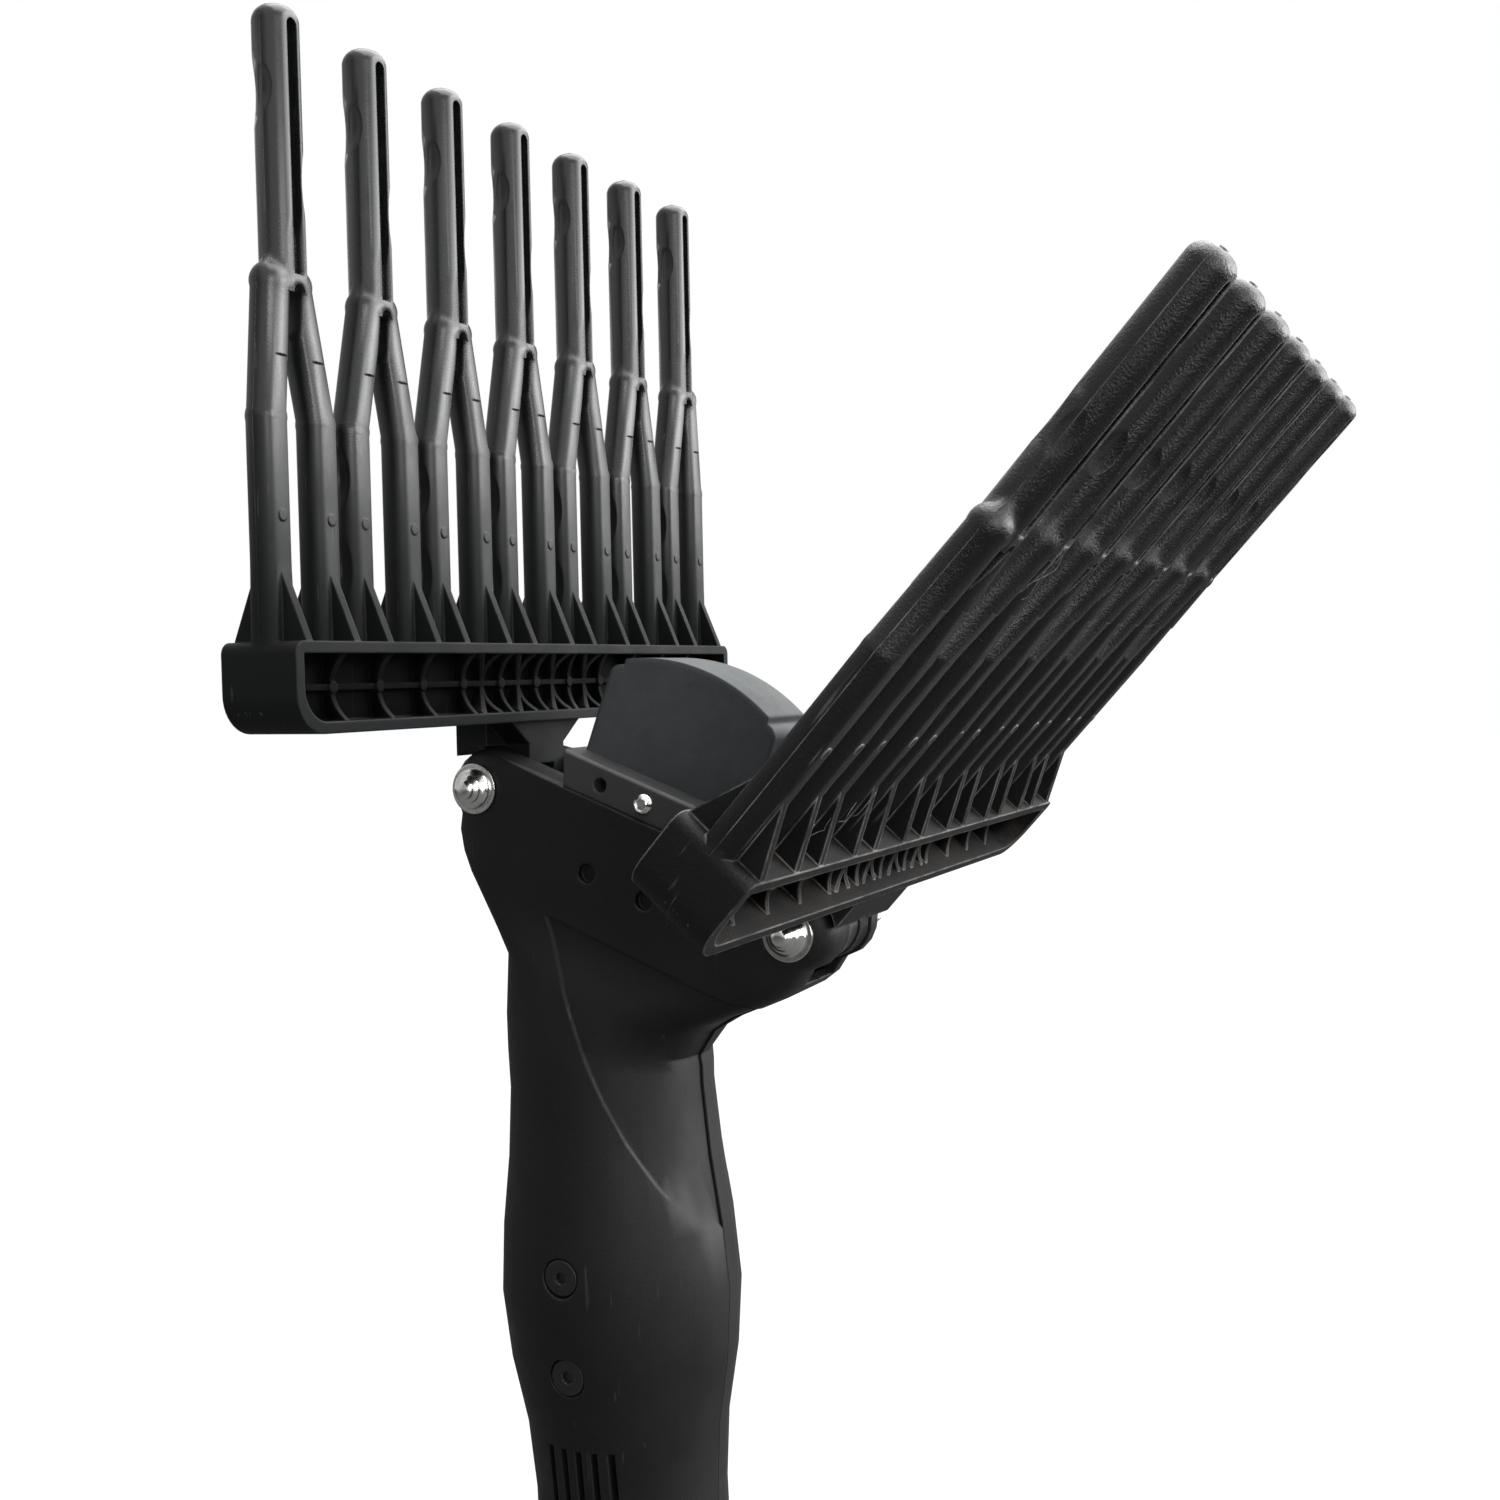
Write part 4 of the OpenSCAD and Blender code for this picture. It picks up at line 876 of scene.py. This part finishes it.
# %% Metal finishes
METAL_GRAIN = 0.008 * MM
METAL_ROUND = 0.3 * MM
SCUFF_ROUGHER = 0.2
METALS = {
    "bright_steel": {"name": "bright_steel", "colour": (0.78, 0.78, 0.76), "stain": (0.55, 0.53, 0.48),
                     "low": 0.14, "high": 0.26, "grain_scale": 900.0},
    "black_steel": {"name": "black_steel", "colour": (0.055, 0.056, 0.06), "stain": (0.03, 0.03, 0.03),
                    "low": 0.3, "high": 0.45, "grain_scale": 1500.0},
    "left_lever": {"name": "lever_steel", "colour": (0.07, 0.07, 0.075), "stain": (0.04, 0.04, 0.04),
                   "low": 0.35, "high": 0.5, "grain_scale": 1400.0},
    "steel": {"name": "ground_steel", "colour": (0.56, 0.57, 0.58), "stain": (0.36, 0.35, 0.33),
              "low": 0.26, "high": 0.42, "grain_scale": 1300.0},
    "bronze": {"name": "bush_bronze", "colour": (0.56, 0.40, 0.20), "stain": (0.32, 0.20, 0.09),
               "low": 0.28, "high": 0.42, "grain_scale": 1400.0},
    "alloy": {"name": "turned_alloy", "colour": (0.70, 0.71, 0.72), "stain": (0.52, 0.52, 0.52),
              "low": 0.3, "high": 0.46, "grain_scale": 1200.0},
    "can": {"name": "motor_can_steel", "colour": (0.50, 0.51, 0.53), "stain": (0.36, 0.36, 0.37),
            "low": 0.24, "high": 0.38, "grain_scale": 1200.0},
}


def metal_finish(name, colour, stain, low, high, grain_scale):
    """Metal with uneven gloss, faint stains and softly broken edges."""
    material, tree, shader, place = start_finish(name, metallic=1.0)
    grain = use_group(tree, "grain", place, Scale=grain_scale, Low=low, High=high)
    scuffs = use_group(tree, "scuffs", place, Scale=1600.0, Length=0.2)
    stains = remap(tree, noise(tree, place, scale=420.0, detail=5.0, roughness=0.6), low=0.5, high=0.75)
    tree.links.new(lay_over(tree, colour, stains, share=0.7, over=stain), shader.inputs["Base Color"])
    rough = calculate(tree, "ADD", grain["Roughness"], product(tree, scuffs["Mask"], SCUFF_ROUGHER))
    tree.links.new(rough, shader.inputs["Roughness"])
    round_and_bump(tree, shader, grain["Height"], METAL_GRAIN, METAL_ROUND, strength=0.6)
    return material


for slot, values in METALS.items():
    keep_finish(slot, metal_finish(**values))
FINISHES["right_lever"] = FINISHES["left_lever"]

# %% [markdown]
# ## Finishes on the solids
# The record says which slot each solid belongs to, so the finishes needn't be named solid by solid. A
# finish under a solid's own name, such as that of a comb or a lever, comes before the one of its slot.

# %% Finishes on the solids
slot_of = {part["node"]: part["material_slot"] for part in frame["record"]["subparts"]}
for name, node in nodes.items():
    finish = FINISHES.get(name) or FINISHES[slot_of[name]]
    node.data.materials.clear()
    node.data.materials.append(finish)
print("finishes:", sorted(FINISHES))

# %% [markdown]
# ## Parting lines on the combs
# Where the two halves of the comb's mould met, a hair-thin ridge runs up the end of the bar and the outer
# side of each end finger. A drawn line would float or sink, so rays shot at the comb find the route on its
# surface. A single vertex is extruded along the route, turned into a curve so that it can be given a round
# section, and back into a mesh.

# %% Route of the parting lines
LINE_START = 120
LINE_LOW = 16.4
LINE_HIGH = 160.6
LINE_STEPS = 120
LINE_SINK = 0.09 * MM
LINE_RADIUS = 0.14 * MM
LINE_LIMIT = cad_box[1].y - LINE_RADIUS


def parting_route(side, end):
    """Where rays in the comb's middle plane meet one end of the comb, from its bar up to its tip."""
    comb = nodes[f"{side}_comb"]
    into_comb = comb.matrix_world.inverted()
    route = []
    for step in range(LINE_STEPS + 1):
        z = LINE_LOW + (LINE_HIGH - LINE_LOW) * step / LINE_STEPS
        start = comb_point(side, COMB_X, end * LINE_START, z)
        inward = (comb_point(side, COMB_X, 0, z) - start).normalized()
        met, place, _, _ = comb.ray_cast(into_comb @ start, into_comb.to_3x3() @ inward)
        if met:
            place = comb.matrix_world @ place + inward * LINE_SINK
            place.y = max(-LINE_LIMIT, min(LINE_LIMIT, place.y))
            route.append(place)
    return route


routes = {side: [parting_route(side, end) for end in (-1, 1)] for side in ("left", "right")}
print("points on the routes:", {side: [len(route) for route in pair] for side, pair in routes.items()})


# %% Parting lines
def thread(places, radius):
    """A thin round thread through a row of places."""
    bpy.ops.object.select_all(action="DESELECT")
    bpy.ops.mesh.primitive_plane_add(size=MM, location=(0, 0, 0))
    piece = bpy.context.object
    bpy.ops.object.mode_set(mode="EDIT")
    bpy.ops.mesh.merge(type="CENTER")
    bpy.ops.transform.translate(value=places[0])
    for here, there in zip(places, places[1:]):
        bpy.ops.mesh.extrude_region_move(TRANSFORM_OT_translate={"value": there - here})
    bpy.ops.object.mode_set(mode="OBJECT")
    bpy.ops.object.convert(target="CURVE")
    piece.data.bevel_depth = radius
    piece.data.bevel_resolution = 2
    piece.data.use_fill_caps = True
    bpy.ops.object.convert(target="MESH")
    return bpy.context.object


def join_pieces(pieces, name):
    """Several meshes made into one named piece."""
    bpy.ops.object.select_all(action="DESELECT")
    for piece in pieces:
        piece.select_set(True)
    bpy.context.view_layer.objects.active = pieces[0]
    bpy.ops.object.join()
    joined = bpy.context.object
    joined.name = name
    joined.data.name = name
    bpy.ops.object.shade_smooth()
    return joined


for side in ("left", "right"):
    lines = [thread(route, LINE_RADIUS) for route in routes[side]]
    parting = join_pieces(lines, f"{side}_comb_parting_lines")
    parting.data.materials.append(FINISHES[f"{side}_comb"])
    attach(parting, f"{side}_rake")
    print(parting.name, len(parting.data.polygons), "faces")

# %% [markdown]
# ## Screw faces
# The two screws on the front of the handle are flat blackened heads with a hexagon socket, sunk in round
# recesses. The solids behind them are plain domes. A bump can't cut a clean hexagon, so each face is a disc
# with a hexagon cut out by a Boolean modifier, set on the dome.

# %% Screw face
SCREW_RADIUS = 4.25 * MM
SCREW_DEPTH = 1.6 * MM
SCREW_SIDES = 64
SOCKET_RADIUS = 1.5 * MM
SOCKET_LENGTH = 1.4 * SCREW_DEPTH
SOCKET_SIDES = 6
SOFT_EDGE = 0.25 * MM


def disc(radius, depth, sides, place):
    """A short cylinder that faces the front."""
    bpy.ops.object.select_all(action="DESELECT")
    bpy.ops.mesh.primitive_cylinder_add(vertices=sides, radius=radius, depth=depth, location=place,
                                        rotation=(math.pi / 2, 0, 0))
    bpy.ops.object.transform_apply(location=True, rotation=True, scale=True)
    return bpy.context.object


def screw_face(front):
    """A disc with a hexagon socket, its front face at the given point."""
    plate = disc(SCREW_RADIUS, SCREW_DEPTH, SCREW_SIDES, front + Vector((0, SCREW_DEPTH / 2, 0)))
    socket = disc(SOCKET_RADIUS, SOCKET_LENGTH, SOCKET_SIDES, front)
    cut = plate.modifiers.new("hexagon", "BOOLEAN")
    cut.operation = "DIFFERENCE"
    cut.object = socket
    bpy.ops.object.select_all(action="DESELECT")
    plate.select_set(True)
    bpy.context.view_layer.objects.active = plate
    bpy.ops.object.modifier_apply(modifier=cut.name)
    soft = plate.modifiers.new("soft_edge", "BEVEL")
    soft.width = SOFT_EDGE
    soft.segments = 2
    bpy.ops.object.modifier_apply(modifier=soft.name)
    bpy.data.objects.remove(socket)
    return plate


print("socket:", round(2 * SOCKET_RADIUS / MM, 1), "mm across its corners")

# %% Both screw faces
SCREW_LIFT = 0.12 * MM

screws = nodes["gearbox_screws"]
screw_points = [screws.matrix_world @ vertex.co for vertex in screws.data.vertices]
middle = sum(point.z for point in screw_points) / len(screw_points)
faces = []
for above in (True, False):
    own = [point for point in screw_points if (point.z > middle) == above]
    front = min(point.y for point in own)
    height = (min(point.z for point in own) + max(point.z for point in own)) / 2
    faces.append(screw_face(Vector((0, front - SCREW_LIFT, height))))
screw_faces = join_pieces(faces, "front_screw_faces")
bpy.ops.object.shade_flat()
screw_faces.data.materials.append(FINISHES["screw_black"])
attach(screw_faces, "housing")
print(screw_faces.name, len(screw_faces.data.polygons), "faces")

# %% [markdown]
# ## Fibres
# A few pale fibres hang on the right comb, two looped over a fork and some between the legs. A hair system
# would be much for so few, so each fibre is a thread along a short wave, made as the parting lines are.

# %% Fibres
FIBRE_RADIUS = 0.055 * MM
FIBRE_STEPS = 18
FIBRE_BOW = 0.8
FIBRE_RISE = 0.6
FORK_FIBRES = [
    {"start": (-1.9, 57, 108), "reach": (3.5, -13), "sway": 2.6, "turns": 0.8},
    {"start": (-1.9, 55.5, 107), "reach": (5, -9), "sway": -1.6, "turns": 0.6},
]
LEG_FIBRE_START = (-2.2, 50, 47)
LEG_FIBRE_STEP = (0, 7, -2)
LEG_FIBRE_REACH = ((4, -5), (1, -5))
LEG_FIBRE_SWAY = 1.3
LEG_FIBRE_TURNS = (0.7, 1.0, 1.3, 1.6)


def fibre(start, reach, sway, turns):
    """A thin wavy thread from a point in the right comb's frame, in millimetres."""
    points = []
    for step in range(FIBRE_STEPS + 1):
        t = step / FIBRE_STEPS
        angle = 2 * math.pi * turns * t
        x = start[0] - FIBRE_BOW * math.sin(math.pi * t)
        y = start[1] + reach[0] * t + sway * math.sin(angle)
        z = start[2] + reach[1] * t + FIBRE_RISE * sway * math.cos(angle)
        points.append(comb_point("right", x, y, z))
    return thread(points, FIBRE_RADIUS)


strands = [fibre(**values) for values in FORK_FIBRES]
for k, turns in enumerate(LEG_FIBRE_TURNS):
    leg_start = [first + k * step for first, step in zip(LEG_FIBRE_START, LEG_FIBRE_STEP)]
    strands.append(fibre(leg_start, LEG_FIBRE_REACH[k % 2], LEG_FIBRE_SWAY, turns))
fibres = join_pieces(strands, "right_comb_fibres")
fibres.data.materials.append(FINISHES["fibre"])
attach(fibres, "right_rake")
print(fibres.name, len(fibres.data.polygons), "faces")
